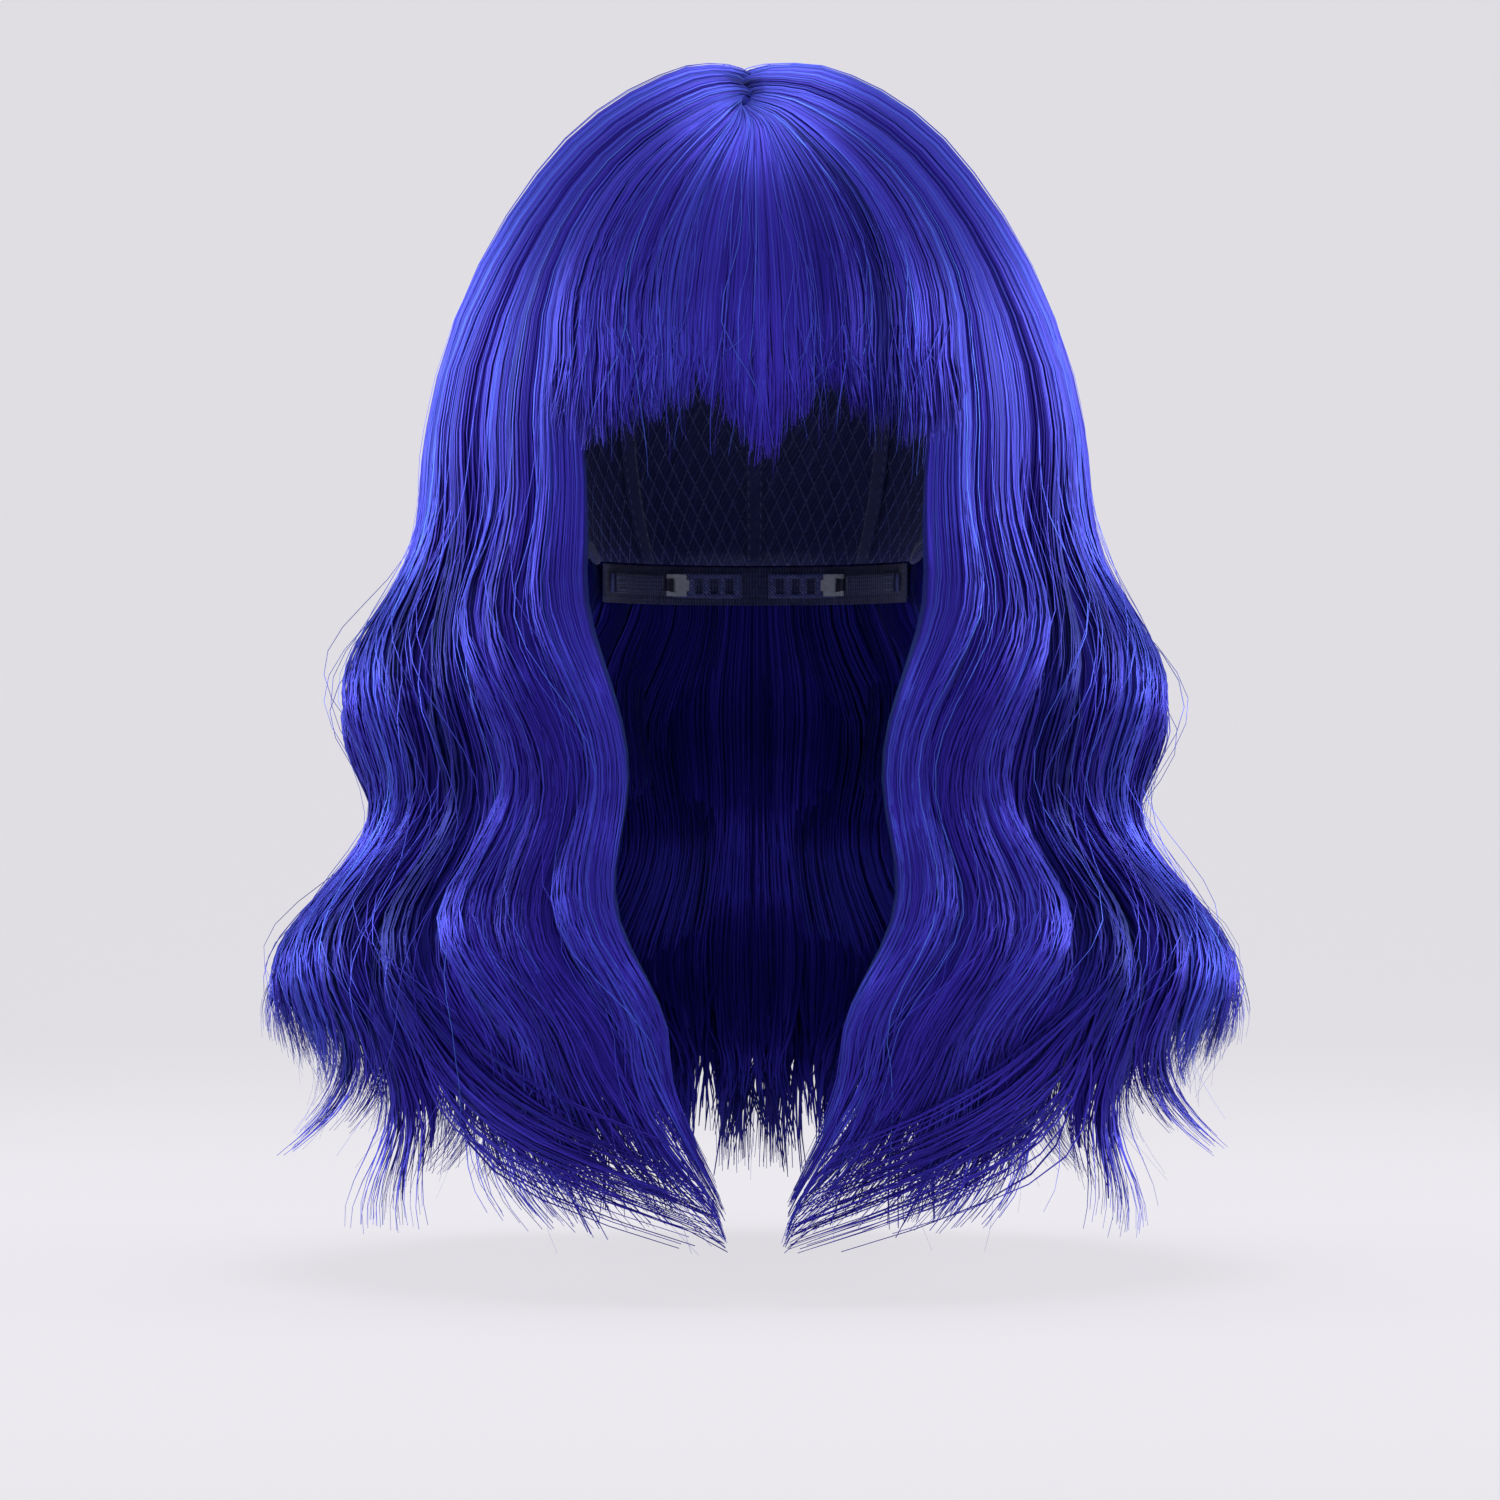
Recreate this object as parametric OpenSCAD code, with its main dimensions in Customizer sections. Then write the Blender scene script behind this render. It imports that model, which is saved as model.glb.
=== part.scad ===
// Costume wig: a wavy bob with a full fringe on a net cap with two nape adjusters.
// Millimetres, +Z up, the face looks towards -Y. The origin is the centre of the
// wearer's head at the brow line. Left means the wearer's left, which is +X.

/* [Show] */
// Sub-part to draw, or all

/* [Head form] */
// Width of the head that the cap fits
head_w = 156; // [146:1:166]
// Length of the head from forehead to back
head_l = 198; // [188:1:208]
// Height of the crown above the brow line
crown_h = 92; // [86:1:98]
// Width of the cap at its nape edge
nape_w = 129; // [122:1:136]
// Twice the distance from the head's centre to the nape edge
nape_l = 169; // [162:1:176]
// Depth of the nape edge below the brow line
nape_drop = 62; // [57:1:67]

/* [Cap] */
// Thickness of the crown net
net_t = 0.8; // [0.6:0.1:1.2]
// Thickness of bands and tabs
band_t = 1; // [0.8:0.05:1.1]
// Clear gap between pieces that lie against each other
lay_gap = 0.3; // [0.3:0.05:0.5]
// Height of the hairline above the brow line at the middle
hairline_z = 45; // [38:1:50]
// Height of the cap's edge above the ears, below zero is under the brow line
ear_z = -5; // [-10:1:0]
// Turn where the hairline starts to fall towards the temple
hairline_turn = 20; // [14:1:26]
// Turn where the edge reaches the temple
temple_turn = 62; // [58:1:66]
// Turn where the edge starts to fall behind the ear
ear_back_turn = 88; // [84:1:92]
// Turn where the edge reaches the nape height
nape_turn = 120; // [116:1:124]
// Height of the front and side bands
band_h = 11; // [8:0.5:14]
// Width of the ear tab in degrees of turn
tab_turn = 17; // [13:1:20]
// Length of the ear tab below the cap's edge
tab_drop = 30; // [24:1:36]
// Width of the bendable stay on the ear tab in degrees of turn
stay_turn = 3; // [2:0.5:4]
// Thickness of the stay
stay_t = 0.7; // [0.5:0.1:1]
// Width of a rib in degrees of turn
rib_turn = 5; // [4:0.5:7]
// Thickness of a rib
rib_t = 0.8; // [0.6:0.1:1.2]
// Turn of the side ribs from the middle of the back
rib_side_turn = 38; // [30:1:46]

/* [Weft tracks] */
// Thickness of a sewn weft track
track_t = 1.3; // [1:0.1:1.5]
// Height of a weft track
track_h = 3; // [2.5:0.1:4]
// Height between neighbouring weft tracks
track_pitch = 19.5; // [18:0.5:20]
// Gap between a weft track and the hair that lies over it
root_gap = 0.5; // [0.4:0.05:0.8]
// Turn where the tracks end beside the face
track_turn = 66; // [62:1:72]

/* [Parting] */
// Length of the parting patch along the head
patch_l = 74; // [66:1:80]
// Width of the parting patch
patch_w = 24; // [20:1:28]
// Thickness of the parting patch
patch_t = 1; // [0.8:0.1:1.2]
// Lean of the parting's front end from straight up, in degrees
part_front = 36; // [32:1:40]
// Lean of the parting's back end from straight up, in degrees
part_back = 9; // [6:1:12]

/* [Nape adjuster] */
// Radius of the nape band's inner face
nape_r = 57; // [54:1:60]
// Reach of the nape band each side of the middle, in degrees
nape_reach = 72; // [69:1:75]
// Height of the nape band
nape_h = 14; // [12:0.5:16]
// Thickness of the pocket tape
tape_t = 0.7; // [0.5:0.1:0.9]
// Height of the pocket tape
tape_h = 9; // [8:0.5:11]
// Height of one pocket's mouth
pocket_h = 5.6; // [5.2:0.1:6]
// Width of one pocket's mouth in degrees
pocket_turn = 3.2; // [3:0.1:3.6]
// Pitch of the pockets in degrees
pocket_pitch = 6; // [5.5:0.5:6.5]
// Steps of the strap between the loosest and the tightest pocket
pocket_steps = 3; // [2:1:3]
// Thickness of the elastic strap
strap_t = 0.8; // [0.6:0.1:1]
// Height of the elastic strap
strap_h = 7; // [6:0.5:8]
// Place of the hook's bar from the middle of the nape, in degrees
bar_turn = 36; // [35:0.5:38]
// Place of the strap's sewn end from the middle of the nape, in degrees
strap_end_turn = 68; // [65:1:70]
// Length of the strap's sewn end in degrees
anchor_turn = 8; // [6:1:10]
// Distance of the strap's middle line in from the nape band's face
strap_in = 2.8; // [2.8:0.1:3.2]
// Radius of the hook's bar
bar_r = 0.8; // [0.7:0.05:0.9]
// Running clearance between the bar and the sewn loop
bar_clear = 0.05; // [0.03:0.01:0.08]
// Wall of the sewn loop round the bar
loop_wall = 0.55; // [0.45:0.05:0.6]
// Height of the sewn loop
loop_h = 4.4; // [4:0.1:5]
// Height of the hook
hook_h = 8; // [7.5:0.1:8.5]
// Thickness of the hook's plate
hook_t = 1.2; // [1:0.1:1.3]
// Reach of the hook from its bar to the prong
hook_reach = 7.5; // [7:0.1:8]
// Distance from the bar to the near edge of the hook's plate
hook_window = 2.4; // [2.2:0.1:2.8]
// Thickness of the prong along the band
prong_t = 1.2; // [1:0.1:1.4]
// Height of the prong
prong_h = 4; // [3.5:0.1:4.4]
// Reach of the prong outwards past the bar's centre
prong_out = 0.7; // [0.5:0.05:0.75]

/* [Hair] */
// Depth of the hair over the crown of the head
top_depth = 20; // [16:0.5:26]
// Depth of the hair at the sides of the crown
crown_depth = 21.5; // [18:0.5:26]
// Depth of the fringe in front of the forehead
fringe_depth = 12; // [9:0.5:16]
// Depth of the hair behind the head at the brow line
back_depth = 22; // [18:0.5:28]
// Depth of the hair at the sides of the head at the brow line
brow_depth = 34; // [30:0.5:40]
// Gain in half width for each millimetre down
hair_flare = 0.225; // [0.17:0.005:0.27]
// Gain in depth behind for each millimetre down
back_flare = 0.05; // [0:0.01:0.1]
// Depth of the hair at the sides, from its outside to its inside
side_depth = 46; // [40:1:52]
// Depth of the hair in front and behind
end_depth = 34; // [30:1:40]
// Length of one wave at the sides
wave_side = 97; // [88:1:106]
// Length of one wave beside the face
wave_front = 108; // [98:1:118]
// Swell of the waves outwards
wave_out = 11; // [6:0.5:12]
// Share of that swell in front and behind
end_swell = 0.75; // [0.4:0.05:0.9]
// Sway of the waves round the head, in degrees
wave_turn = 5.4; // [3:0.2:6]
// Depth below the brow line where the waves start
wave_start = 12; // [6:1:24]
// Depth below the brow line where the waves are full
wave_full = 100; // [90:1:110]
// Height of the first outward swell at the sides
swell_z = -108; // [-116:1:-100]
// Height of the first inward sway beside the face
sway_z = -120; // [-128:1:-112]
// Turn of the hair's edge beside the face at the brow line
face_turn = 36; // [33:1:38]
// Sweep of that edge towards the middle at the tips, in degrees
face_sweep = 21; // [16:1:25]
// Height where that sweep ends
sweep_end_z = -230; // [-250:1:-210]
// Further curl of the tips beside the face towards the middle, in degrees
face_curl = 14; // [8:1:18]
// Tip height of the locks beside the face
front_tip_z = -287; // [-296:1:-275]
// Tip height of the locks over the shoulders
side_tip_z = -249; // [-256:1:-240]
// Tip height of the locks down the back
back_tip_z = -286; // [-296:1:-275]
// Arch of the strands outwards over the crown beside the fringe, in degrees
crown_arch = 13; // [6:1:15]
// Tip height of the fringe
fringe_tip_z = -26; // [-32:1:-18]
// Extra length of the fringe's middle lock
fringe_mid_drop = 9; // [5:1:14]
// Length over which the fringe narrows to its tips
fringe_taper = 26; // [18:1:40]
// Width of the fringe's tips as a share of the lock
fringe_tip_width = 0.5; // [0.3:0.05:0.7]
// Gap between neighbouring locks in degrees of turn
lock_gap = 0.7; // [0.5:0.1:1]
// Share of a lock's length that narrows to its tip
tip_share = 0.13; // [0.1:0.01:0.2]
// Width of a lock's tip as a share of the lock
tip_width = 0.3; // [0.2:0.01:0.4]
// Height between rings of a hanging lock
ring_step = 16; // [14:1:18]

/* [Hidden] */

hair_blue = [0.22, 0.19, 0.62];
under_blue = [0.13, 0.1, 0.44];
net_navy = [0.1, 0.1, 0.2];
band_navy = [0.15, 0.15, 0.28];
patch_navy = [0.12, 0.1, 0.32];
clear_plastic = [0.75, 0.78, 0.82];
stay_grey = [0.65, 0.67, 0.7];

$fn = 48;
turn_step = 6;
brow_angle = 90;
// The skirt of the cap counts on from the dome in degrees, one degree for this fall
skirt_rate = 1.5;
band_off = net_t + lay_gap*2;
track_off = net_t + lay_gap;
track_top = track_off + track_t;
root_off = track_top + root_gap;
patch_off = net_t + lay_gap;
patch_top = patch_off + patch_t;
hair_top = crown_h + top_depth;
dome_w = head_w + 2*crown_depth;
brow_w = head_w + 2*brow_depth;
hair_front = head_l/2 + fringe_depth;
hair_back = head_l/2 + back_depth;
nape_cy = nape_l/2 - nape_r;
nape_z = -nape_drop - lay_gap*2 - nape_h/2;
strap_r = nape_r - strap_in;
tape_r = nape_r - lay_gap - tape_t;
loop_r = bar_r + bar_clear + loop_wall;
prong_turn = atan2(hook_reach + prong_t/2, strap_r);
brow_track = 3;
lock_sides = 8;
dome_steps = [0.03, 0.1, 0.2, 0.32, 0.45, 0.58, 0.7, 0.8, 0.88, 0.94];
nape_share = 0.19;
under_share = 0.43;
share_gap = 0.05;
root_puff = 0.7;
puff_end = 0.16;
brow_from = 0.55;
brow_curve = 1.5;
arch_turn = 38;
arch_span = 26;
arch_start = 12;
behind_from = 60;
behind_to = 120;
leave_drop = 2.4;
root_low = 0.03;
rise_from = 0.45;
rise_to = 0.82;
corner_cut = 0.82;
tip_front_turn = 40;
tip_side_turn = 84;
tip_rear_turn = 100;
outer_share = under_share + share_gap;
rear_turn = 96;
back_turn = 122;
spine_turn = 150;
cheek_turn = 54;
side_turn = 74;
under_turn = 70;
nape_hair_turn = 124;
fringe_mid_turn = 8;
fringe_side_turn = 22;
fringe_middle_turns = [-fringe_mid_turn, fringe_mid_turn];
fringe_inner_turns = [fringe_mid_turn, fringe_side_turn];
fringe_outer_turns = [fringe_side_turn, face_turn];
fringe_middle_z = fringe_tip_z - fringe_mid_drop;

// Smooth step from 0 at a to 1 at b
function ease(a, b, x) = let (t = max(0, min(1, (x - a)/(b - a)))) t*t*(3 - 2*t);
function mix(a, b, t) = a + (b - a)*t;

// Height on the cap as a drop from the crown in degrees, and back again
function drop_of(z) = z >= 0 ? acos(min(1, z/crown_h)) : brow_angle - z/skirt_rate;
function skirt_z(drop) = -(drop - brow_angle)*skirt_rate;
function nape_lean(z) = pow(min(0, max(z, -nape_drop))/nape_drop, 2);
function cap_half_w(z) = (head_w - (head_w - nape_w)*nape_lean(z))/2;
function cap_half_l(z) = (head_l - (head_l - nape_l)*nape_lean(z))/2;

// Point at a turn from the face, a drop from the crown and a distance off the head
function cap_point(turn, drop, off) =
    let (dome = drop <= brow_angle, z = dome ? (crown_h + off)*cos(drop) : skirt_z(drop),
        r = dome ? sin(drop) : 1)
    [(cap_half_w(dome ? 0 : z) + off)*r*sin(turn),
        -(cap_half_l(dome ? 0 : z) + off)*r*cos(turn), z];

// Height of the cap's edge: high at the hairline, low at the nape
function rim_z(turn) = let (t = abs(turn))
    hairline_z - (hairline_z - ear_z)*ease(hairline_turn, temple_turn, t)
    - (ear_z + nape_drop)*ease(ear_back_turn, nape_turn, t);

// Direction of a strand on the dome, 0 at the parting to 1 at the brow line:
// the straight way over a ball from the parting to the place where the strand hangs
function part_lean(turn) = (part_back - part_front)/2 - (part_front + part_back)/2*cos(turn);
function strand_way(turn, along) =
    let (lean = part_lean(turn), way = acos(-sin(lean)*cos(turn)),
        a = sin((1 - along)*way)/sin(way), b = sin(along*way)/sin(way))
    [b*sin(turn), a*sin(lean) - b*cos(turn), a*cos(lean)];
// Turn of a strand on the dome: beside the fringe it arches outwards on its way down
function arched(turn, along) = let (t = abs(turn))
    sign(turn)*(t + crown_arch*exp(-pow((t - arch_turn)/arch_span, 2))*min(1, t/arch_start)*sin(180*along));
function stretch(v, s) = [v[0]*s[0], v[1]*s[1], v[2]*s[2]];

// Point on the dome at a share of the way along a strand, off the head
function dome_point(turn, along, off) =
    stretch(strand_way(turn, along), [head_w/2 + off, head_l/2 + off, crown_h + off]);

// Turn of a hanging strand: it sways, and beside the face it sweeps to the middle
function sway(turn, z) = let (t = abs(turn), side = sign(turn))
    side*(t - min(1, t/face_turn)*(1 - ease(face_turn, rear_turn, t))
    *(face_sweep*ease(0, sweep_end_z, z) + face_curl*ease(sweep_end_z, front_tip_z, z))
    - wave_turn*ease(wave_start, wave_full, -z)*sin(min(180, t))*cos(360*(z - sway_z)/wave_front));
function swell(z) = wave_out*ease(wave_start, wave_full, -z)*cos(360*(z - swell_z)/wave_side);

// Outside of the hair at a height: half width, and depth in front or behind
function hair_half_w(z) = brow_w/2 - hair_flare*z + swell(z);
function hair_half_l(turn, z) = let (behind = ease(behind_from, behind_to, abs(turn)))
    mix(hair_front, hair_back - back_flare*z, behind) + swell(z)*end_swell;

// Inside of the hair: it lies on the cap, then follows the outside
function leave(z) = ease(-nape_drop, -nape_drop*leave_drop, z);
function inner_half_w(z) = mix(cap_half_w(z) + root_off, hair_half_w(z) - side_depth, leave(z));
function inner_half_l(turn, z) =
    mix(cap_half_l(z) + root_off, hair_half_l(turn, z) - end_depth, leave(z));

// Point in the hair: along is 0 to 1 on the dome, z is the height below the brow line,
// and share is 0 at the cap and 1 at the outside
function hair_dome(turn, along, share) =
    let (lie = arched(turn, along), puff = mix(root_puff, 1, ease(0, puff_end, along)),
        wide = mix(dome_w, brow_w, pow(max(0, along - brow_from)/(1 - brow_from), brow_curve))/2,
        inner = dome_point(lie, along, root_off),
        outer = stretch(strand_way(lie, along), [wide, hair_half_l(turn, 0), hair_top]))
    inner + (outer - inner)*share*puff;
function hair_hang(turn, z, share) = let (t = sway(turn, z))
    [mix(inner_half_w(z), hair_half_w(z), share)*sin(t),
        -mix(inner_half_l(turn, z), hair_half_l(turn, z), share)*cos(t), z];

// Tip height of a lock by its turn
function tip_z(turn) = let (t = abs(turn))
    mix(mix(front_tip_z, side_tip_z, ease(tip_front_turn, tip_side_turn, t)), back_tip_z,
        ease(tip_rear_turn, spine_turn, t));

// Corners of a lock's section: a box with cut corners, one unit each way
function corner(k) = let (a = 360*k/lock_sides, s = 1/max(abs(cos(a)), abs(sin(a))))
    [cos(a), sin(a)]*(abs(cos(2*a)) < 0.5 ? s*corner_cut : s);
function section(k, turns, shares, fill) = let (c = corner(k))
    [mix(turns[0], turns[1], (1 + c[0]*fill)/2), mix(shares[0], shares[1], (1 + c[1]*fill)/2)];

// Low edge of an outer lock: on the cap at the parting, over the under hair below
function outer_low(along) = mix(root_low, outer_share, ease(rise_from, rise_to, along));
// Low edge of an under lock: on its track at the root, over the nape hair below
function under_low(z) = mix(0, nape_share + share_gap, ease(0, -nape_drop*0.75, z));
function narrow(z, taper_z, end_z, width) = mix(1, width, ease(taper_z, end_z, z));

function hang_heights(start_z, end_z) =
    concat([for (z = [start_z : -ring_step : end_z + ring_step*0.4]) z], [end_z]);
function ring(turns, low, high, fill, z) = [for (k = [0 : lock_sides - 1])
    let (p = section(k, turns, [low, high], fill)) hair_hang(p[0], z, p[1])];

// Rings of a lock that starts at the parting, lies on the dome and hangs to its tip
function lock_rings(turns, taper_z, end_z, width) = concat(
    [for (s = dome_steps)
        let (fill = narrow(hair_dome((turns[0] + turns[1])/2, s, 1)[2], taper_z, end_z, width))
        [for (k = [0 : lock_sides - 1])
            let (p = section(k, turns, [outer_low(s), 1], fill)) hair_dome(p[0], s, p[1])]],
    [for (z = hang_heights(0, end_z))
        ring(turns, outer_share, 1, narrow(z, taper_z, end_z, width), z)]);

function quad(a, b, c, d) = [[a, b, c], [a, c, d]];

// Closed tube through rings of points
module tube(rings) {
    n = len(rings[0]);
    last = len(rings) - 1;
    sides = [for (i = [0 : last - 1], k = [0 : n - 1]) let (j = (k + 1) % n)
        each quad(i*n + k, i*n + j, (i + 1)*n + j, (i + 1)*n + k)];
    start = [for (k = [1 : n - 2]) [0, k + 1, k]];
    end = [for (k = [1 : n - 2]) [last*n, last*n + k, last*n + k + 1]];
    polyhedron([for (r = rings) each r], concat(sides, start, end));
}

// Closed sheet between an outer and an inner grid, each a list of rows
module sheet(outer, inner) {
    m = len(outer);
    n = len(outer[0]);
    far = m*n;
    top = [for (i = [0 : m - 2], j = [0 : n - 2])
        each quad(i*n + j, (i + 1)*n + j, (i + 1)*n + j + 1, i*n + j + 1)];
    low = [for (f = top) [f[2] + far, f[1] + far, f[0] + far]];
    rims = [for (j = [0 : n - 2]) each concat(
        quad(j, j + 1, far + j + 1, far + j),
        quad((m - 1)*n + j + 1, (m - 1)*n + j, far + (m - 1)*n + j, far + (m - 1)*n + j + 1))];
    ends = [for (i = [0 : m - 2]) each concat(
        quad((i + 1)*n, i*n, far + i*n, far + (i + 1)*n),
        quad(i*n + n - 1, (i + 1)*n + n - 1, far + (i + 1)*n + n - 1, far + i*n + n - 1))];
    polyhedron(concat([for (r = outer) each r], [for (r = inner) each r]),
        concat(top, low, rims, ends));
}

// Rows of turns at even steps between two turns
function turns_between(a, b) = let (n = ceil(abs(b - a)/turn_step)) [for (i = [0 : n]) mix(a, b, i/n)];

// Grid on the cap between two heights above its edge
function edge_grid(a, b, low, high, off) = [for (t = turns_between(a, b))
    [for (h = [high, low]) cap_point(t, drop_of(rim_z(t) + h), off)]];
module edge_strip(a, b, low, high, off, thick)
    sheet(edge_grid(a, b, low, high, off + thick), edge_grid(a, b, low, high, off));

module crown_net() {
    net_top = 5;
    rows = 12;
    columns = 44;
    function row(off, i) = [for (k = [0 : columns - 1]) let (t = 360*k/columns - 180)
        cap_point(t, mix(net_top, drop_of(rim_z(t)), i/rows), off)];
    outer = [for (i = [0 : rows]) each row(net_t, i)];
    inner = [for (i = [0 : rows]) each row(0, i)];
    n = columns;
    far = len(outer);
    walls = [for (i = [0 : rows - 1], k = [0 : n - 1]) let (j = (k + 1) % n)
        each quad(i*n + k, (i + 1)*n + k, (i + 1)*n + j, i*n + j)];
    lining = [for (f = walls) [f[2] + far, f[1] + far, f[0] + far]];
    hem = [for (k = [0 : n - 1]) let (j = (k + 1) % n)
        each quad(rows*n + k, far + rows*n + k, far + rows*n + j, rows*n + j)];
    lid = [for (k = [1 : n - 2]) each [[0, k, k + 1], [far, far + k + 1, far + k]]];
    color(net_navy) polyhedron(concat(outer, inner), concat(walls, lining, hem, lid));
}

module parting_patch() {
    // The patch lies on the net along the parting, longest to the front
    lean_0 = -asin(min(0.95, patch_l*0.82/head_l*2));
    lean_1 = asin(patch_l*0.18/head_l*2);
    rows = 10;
    cols = 4;
    function grid(off) = [for (i = [0 : rows]) [for (j = [0 : cols])
        let (a = mix(lean_0, lean_1, i/rows), x = asin(mix(1, -1, j/cols)*patch_w/head_w))
        stretch([sin(x), cos(x)*sin(a), cos(x)*cos(a)],
            [head_w/2 + off, head_l/2 + off, crown_h + off])]];
    color(patch_navy) sheet(grid(patch_top), grid(patch_off));
}

module front_band() color(band_navy)
    edge_strip(-temple_turn, temple_turn, 0, band_h, band_off, band_t);

module ear_tab() {
    from = temple_turn + lay_gap;
    to = from + tab_turn;
    rows = 6;
    // The tab narrows to a round end below the cap's edge
    function tab_grid(off) = [for (i = [0 : rows]) let (s = i/rows,
        wide = mix(1, 0.35, ease(0.5, 1, s)), z = mix(ear_z + band_h, ear_z - tab_drop, s))
        [for (u = [-1, 0, 1]) cap_point((from + to)/2 + u*wide*tab_turn/2, drop_of(z), off)]];
    color(band_navy) sheet(tab_grid(band_off + band_t), tab_grid(band_off));
}

// The stay lies on the inside of the tab, below the net's edge
module ear_stay() {
    mid = temple_turn + lay_gap + tab_turn/2;
    rows = 4;
    top = band_off - lay_gap;
    function stay_grid(off) = [for (i = [0 : rows])
        let (z = mix(ear_z - lay_gap*2, ear_z - tab_drop*0.85, i/rows))
        [for (u = [-1, 0, 1]) cap_point(mid + u*stay_turn/2, drop_of(z), off)]];
    color(stay_grey) sheet(stay_grid(top), stay_grid(top - stay_t));
}

module side_band() color(band_navy)
    edge_strip(temple_turn + tab_turn + lay_gap*2, nape_turn, 0, band_h, band_off, band_t);

// A rib runs inside the net from the crown to the nape
module rib(turn) {
    rows = 10;
    from = 24;
    function rib_grid(off) = [for (i = [0 : rows])
        let (d = mix(from, drop_of(-nape_drop), i/rows))
        [for (u = [1, 0, -1]) cap_point(turn + u*rib_turn/2/max(0.5, sin(min(brow_angle, d))), d, off)]];
    color(band_navy) sheet(rib_grid(-lay_gap*3), rib_grid(-lay_gap*3 - rib_t));
}

// An arc of the nape, with angles measured from the middle of the back to the left
module nape_arc(from, to, r, thick, z, high) translate([0, nape_cy, z - high/2])
    rotate([0, 0, 90 - to]) rotate_extrude(angle = to - from) translate([r, 0]) square([thick, high]);

module nape_band() color(band_navy)
    nape_arc(-nape_reach, nape_reach, nape_r, band_t, nape_z, nape_h);

// A tape with one pocket mouth at each step of the strap
module pocket_tape() {
    first = bar_turn - prong_turn;
    last = first - pocket_pitch*pocket_steps;
    color(band_navy) difference() {
        nape_arc(last - pocket_pitch*0.75, first + pocket_pitch*0.75, tape_r, tape_t, nape_z, tape_h);
        for (i = [0 : pocket_steps])
            nape_arc(first - i*pocket_pitch - pocket_turn/2, first - i*pocket_pitch + pocket_turn/2,
                tape_r - tape_t, tape_t*3, nape_z, pocket_h);
    }
}

// The sewn end of the strap fills the space between the strap and the nape band
module strap_anchor() {
    r = strap_r + strap_t/2 + lay_gap;
    color(band_navy) nape_arc(strap_end_turn - anchor_turn, strap_end_turn, r,
        nape_r - lay_gap - r, nape_z, strap_h);
}

module adjuster_strap() {
    from = bar_turn + (loop_r + lay_gap)/strap_r*180/PI;
    color(net_navy) nape_arc(from, strap_end_turn, strap_r - strap_t/2, strap_t, nape_z, strap_h);
}

// Place of the hook's bar: x runs along the band to the middle, y inwards
module at_bar() translate([0, nape_cy, nape_z]) rotate([0, 0, 90 - bar_turn])
    translate([strap_r, 0, 0]) rotate([0, 0, 90]) children();

module strap_loop() color(net_navy) at_bar() difference() {
    cylinder(r = loop_r, h = loop_h, center = true);
    cylinder(r = bar_r + bar_clear, h = loop_h*2, center = true);
}

// The hook: a bar in the strap's loop, two arms, a plate and an outward prong
module adjuster_hook() color(clear_plastic) at_bar() {
    arm_h = (hook_h - loop_h)/2 - lay_gap;
    cylinder(r = bar_r, h = hook_h, center = true);
    for (side = [-1, 1])
        translate([0, 0, side*(hook_h - arm_h)/2 - arm_h/2])
            linear_extrude(arm_h) polygon([[0, -bar_r], [0, bar_r], [hook_window, hook_t],
                [hook_window, 0]]);
    translate([hook_window, 0, -hook_h/2]) cube([hook_reach - hook_window, hook_t, hook_h]);
    translate([hook_reach, -prong_out, -prong_h/2]) cube([prong_t, prong_out + hook_t, prong_h]);
}

// A weft track goes round the back, and ends where the bound edge of the cap rises to it
function track_z(i) = track_h + lay_gap + track_pitch*(brow_track - i);
function ease_back(y) = 0.5 - sin(asin(1 - 2*y)/3);
function track_start(z) = let (edge = z - track_h - band_h - lay_gap*2)
    edge >= ear_z ? track_turn
    : mix(ear_back_turn, nape_turn, ease_back(min(1, (ear_z - edge)/(ear_z + nape_drop)))) + 1;
module weft_track(i) {
    z = track_z(i);
    start = track_start(z);
    function track_grid(off) = [for (t = turns_between(start, 360 - start))
        [for (h = [z, z - track_h]) cap_point(t, drop_of(h), off)]];
    color(band_navy) sheet(track_grid(track_top), track_grid(track_off));
}

function spaced(turns) = [turns[0] + lock_gap/2, turns[1] - lock_gap/2];

module lock(turns) {
    end_z = tip_z((turns[0] + turns[1])/2);
    color(hair_blue) tube(lock_rings(spaced(turns), mix(end_z, 0, tip_share), end_z, tip_width));
}

module fringe(turns, end_z) color(hair_blue)
    tube(lock_rings(spaced(turns), end_z + fringe_taper, end_z, fringe_tip_width));

// Under hair hangs from the track at the brow line
module under_lock(turns) {
    end_z = tip_z((turns[0] + turns[1])/2) + ring_step;
    taper_z = mix(end_z, 0, tip_share);
    color(under_blue) tube([for (z = hang_heights(0, end_z))
        ring(spaced(turns), under_low(z), under_share, narrow(z, taper_z, end_z, tip_width), z)]);
}

// Nape hair hangs from the lowest track
module nape_lock(turns) {
    start_z = track_z(2*brow_track) - track_h - lay_gap;
    end_z = back_tip_z + ring_step*2;
    first_z = -ring_step*ceil(-start_z/ring_step + 0.2);
    taper_z = mix(end_z, start_z, tip_share);
    color(under_blue) tube([for (z = concat([start_z], hang_heights(first_z, end_z)))
        ring(spaced(turns), 0, nape_share, narrow(z, taper_z, end_z, tip_width), z)]);
}

module right_side() mirror([1, 0, 0]) children();

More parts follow.
